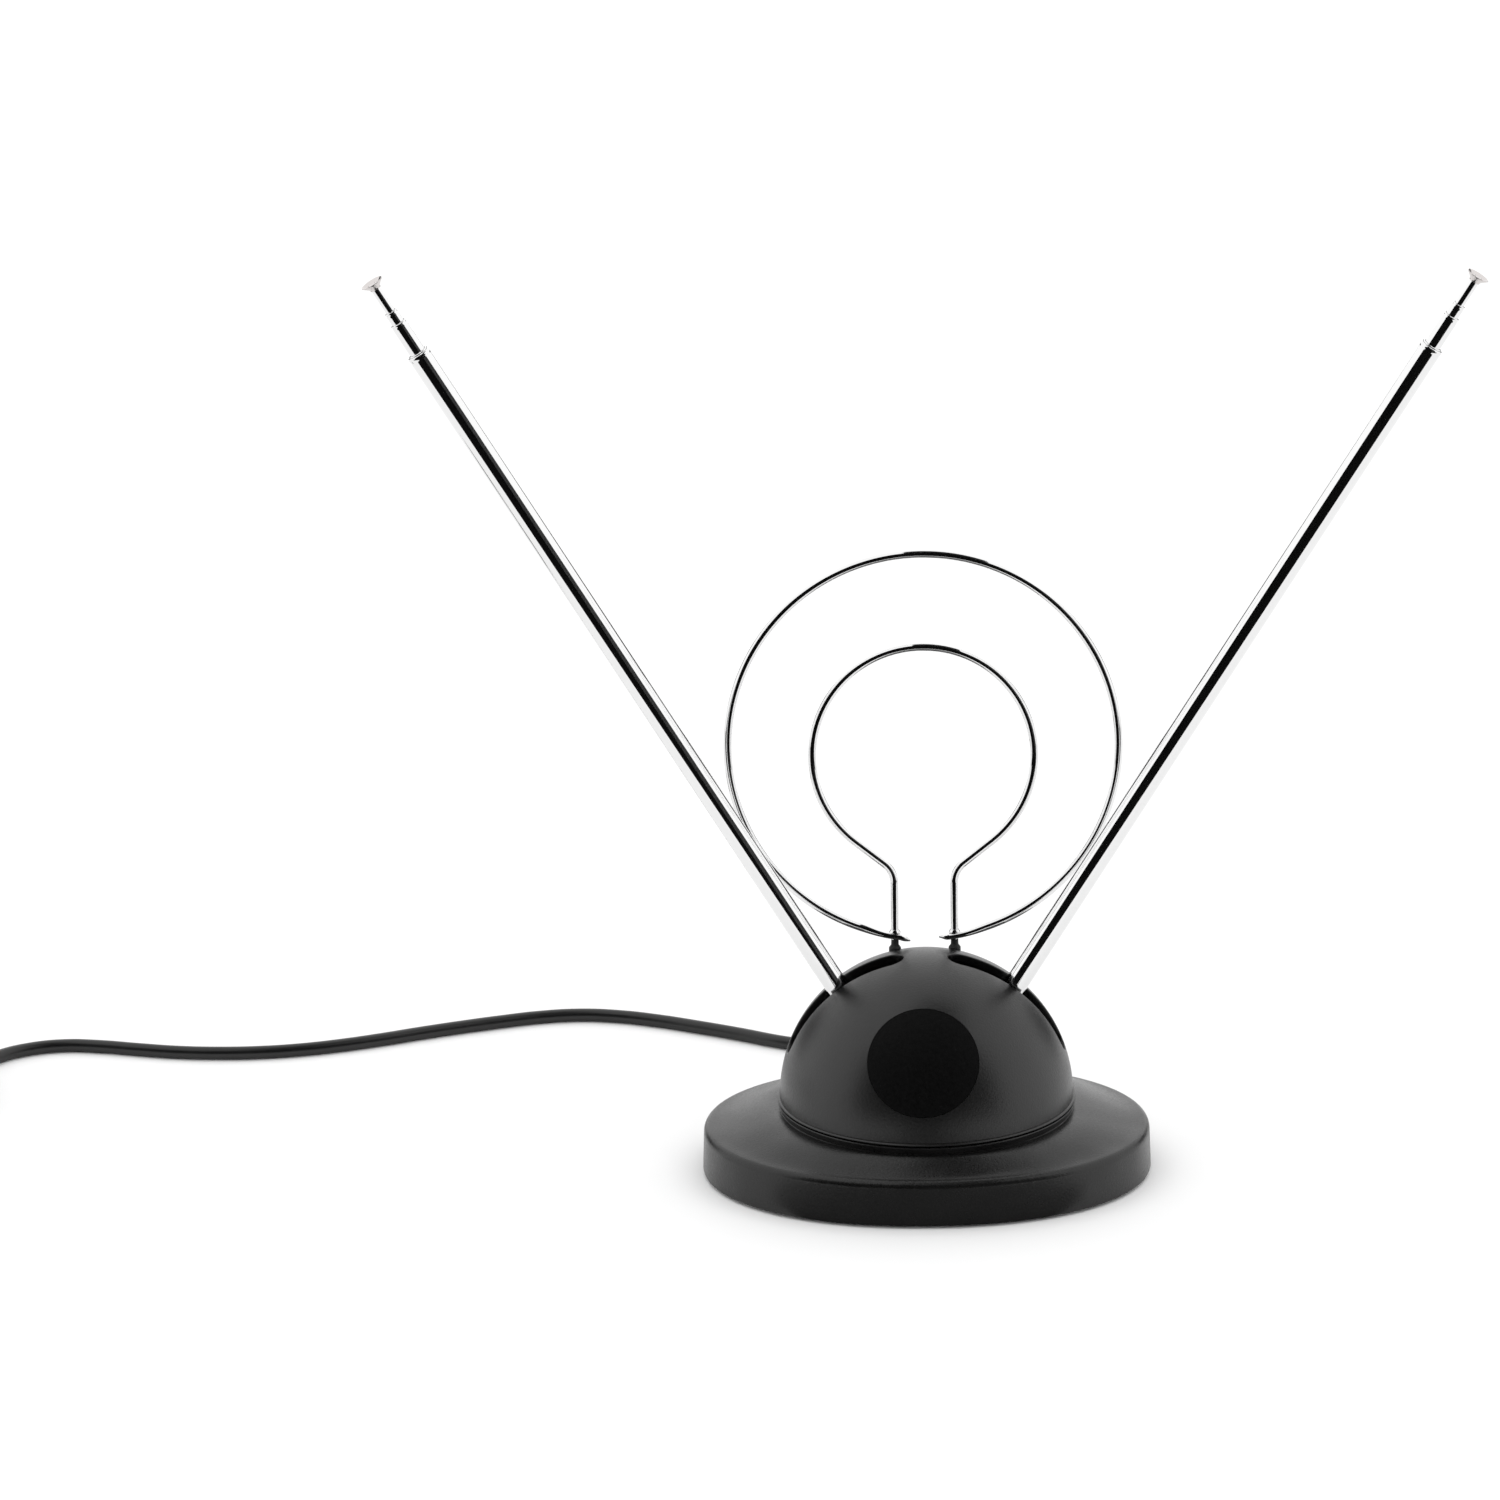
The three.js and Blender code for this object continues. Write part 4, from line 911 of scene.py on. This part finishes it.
WHITE_STRENGTH = 1.25
WALL_Y, WALL_HIGH = -1.1, 1.75
NEAR_EDGE = [(1.8, -0.5), (0.3, -0.38), (0.1, -0.28), (0, -0.22), (-0.1, -0.28), (-0.3, -0.33), (-1.8, -0.45)]
# outline of a painted shadow: a grey card on the floor in front of the base, seen only in reflections, in place of
# the base's cast shadow
PAINTED_SHADOW = [(0.068, -0.045), (0.06, -0.085), (0.045, -0.12), (0.022, -0.2)]


def matt(name, colour, roughness, specular):
    """A plain matt material for the studio."""
    made = bpy.data.materials.new(name)
    made.use_nodes = True
    shader = made.node_tree.nodes["Principled BSDF"]
    shader.inputs["Base Color"].default_value = (*grey(colour), 1)
    shader.inputs["Roughness"].default_value = roughness
    shader.inputs["Specular IOR Level"].default_value = specular
    return made


def flat_piece(name, outline, look):
    """A single face of the studio, from its corners."""
    mesh = bpy.data.meshes.new(name)
    mesh.from_pydata(outline, [], [tuple(range(len(outline)))])
    mesh.materials.append(look)
    return new_object(name, mesh)


def card(name, outline, colour):
    """A matt card that is seen only in reflections, as the dark side of a studio is. One of them is a painted shadow
    on the floor in front of the base.
    """
    made_card = flat_piece(name, outline, matt(name, colour, 1, 0))
    made_card.visible_camera = made_card.visible_diffuse = made_card.visible_shadow = False
    made_card.visible_transmission = made_card.visible_volume_scatter = False


def wall(name, left, right, colour):
    """An upright card behind the camera, from one x to another."""
    y, high = WALL_Y, WALL_HIGH
    card(name, [(left, y, 0), (right, y, 0), (right, y, high), (left, y, high)], colour)


def studio():
    """A white floor under an even white light, with a dark side behind the camera that the chrome reflects, and a
    painted shadow in front of the base that only reflections show.
    """
    world = bpy.data.worlds.new("studio")
    bpy.context.scene.world = world
    world.use_nodes = True
    background = world.node_tree.nodes["Background"]
    background.inputs["Color"].default_value = (1, 1, 1, 1)
    background.inputs["Strength"].default_value = WHITE_STRENGTH
    half = 6
    outline = [(-half, -half, 0), (half, -half, 0), (half, half, 0), (-half, half, 0)]
    floor = flat_piece("floor", outline, matt("floor", 0.9, 0.9, 0.1))
    dark_z, painted_shadow_z = 0.0006, 0.0005
    outline = [(-1.8, WALL_Y), (1.8, WALL_Y), *NEAR_EDGE]
    card("dark_floor", [(x, y, dark_z) for x, y in outline], 0.004)
    wall("dark_wall", -1.9, 0.5, 0.004)
    wall("dim_wall", 0.5, 1.75, 0.04)
    outline = [(-0.15, WALL_Y), (0.7, WALL_Y), (0.7, 0.2), (-0.15, 0.2)]
    card("dark_ceiling", [(x, y, WALL_HIGH) for x, y in outline], 0.02)
    # painted shadow: a grey card in front of the base, seen only in reflections, standing in for the shadow the base
    # casts on the floor
    outline = PAINTED_SHADOW + [(-x, y) for x, y in reversed(PAINTED_SHADOW)]
    card("painted_floor_shadow", [(x, y, painted_shadow_z) for x, y in outline], 0.22)
    away, high = 1.2, 0.4
    for name, sign in (("dark_left", -1), ("dark_right", 1)):
        angles = (math.radians(128), math.radians(150))
        ends = [(sign * away * math.sin(a), -away * math.cos(a)) for a in angles]
        card(name, [(*ends[0], 0), (*ends[1], 0), (*ends[1], high), (*ends[0], high)], 0.02)
    bpy.context.scene.view_settings.view_transform = "Standard"


studio()
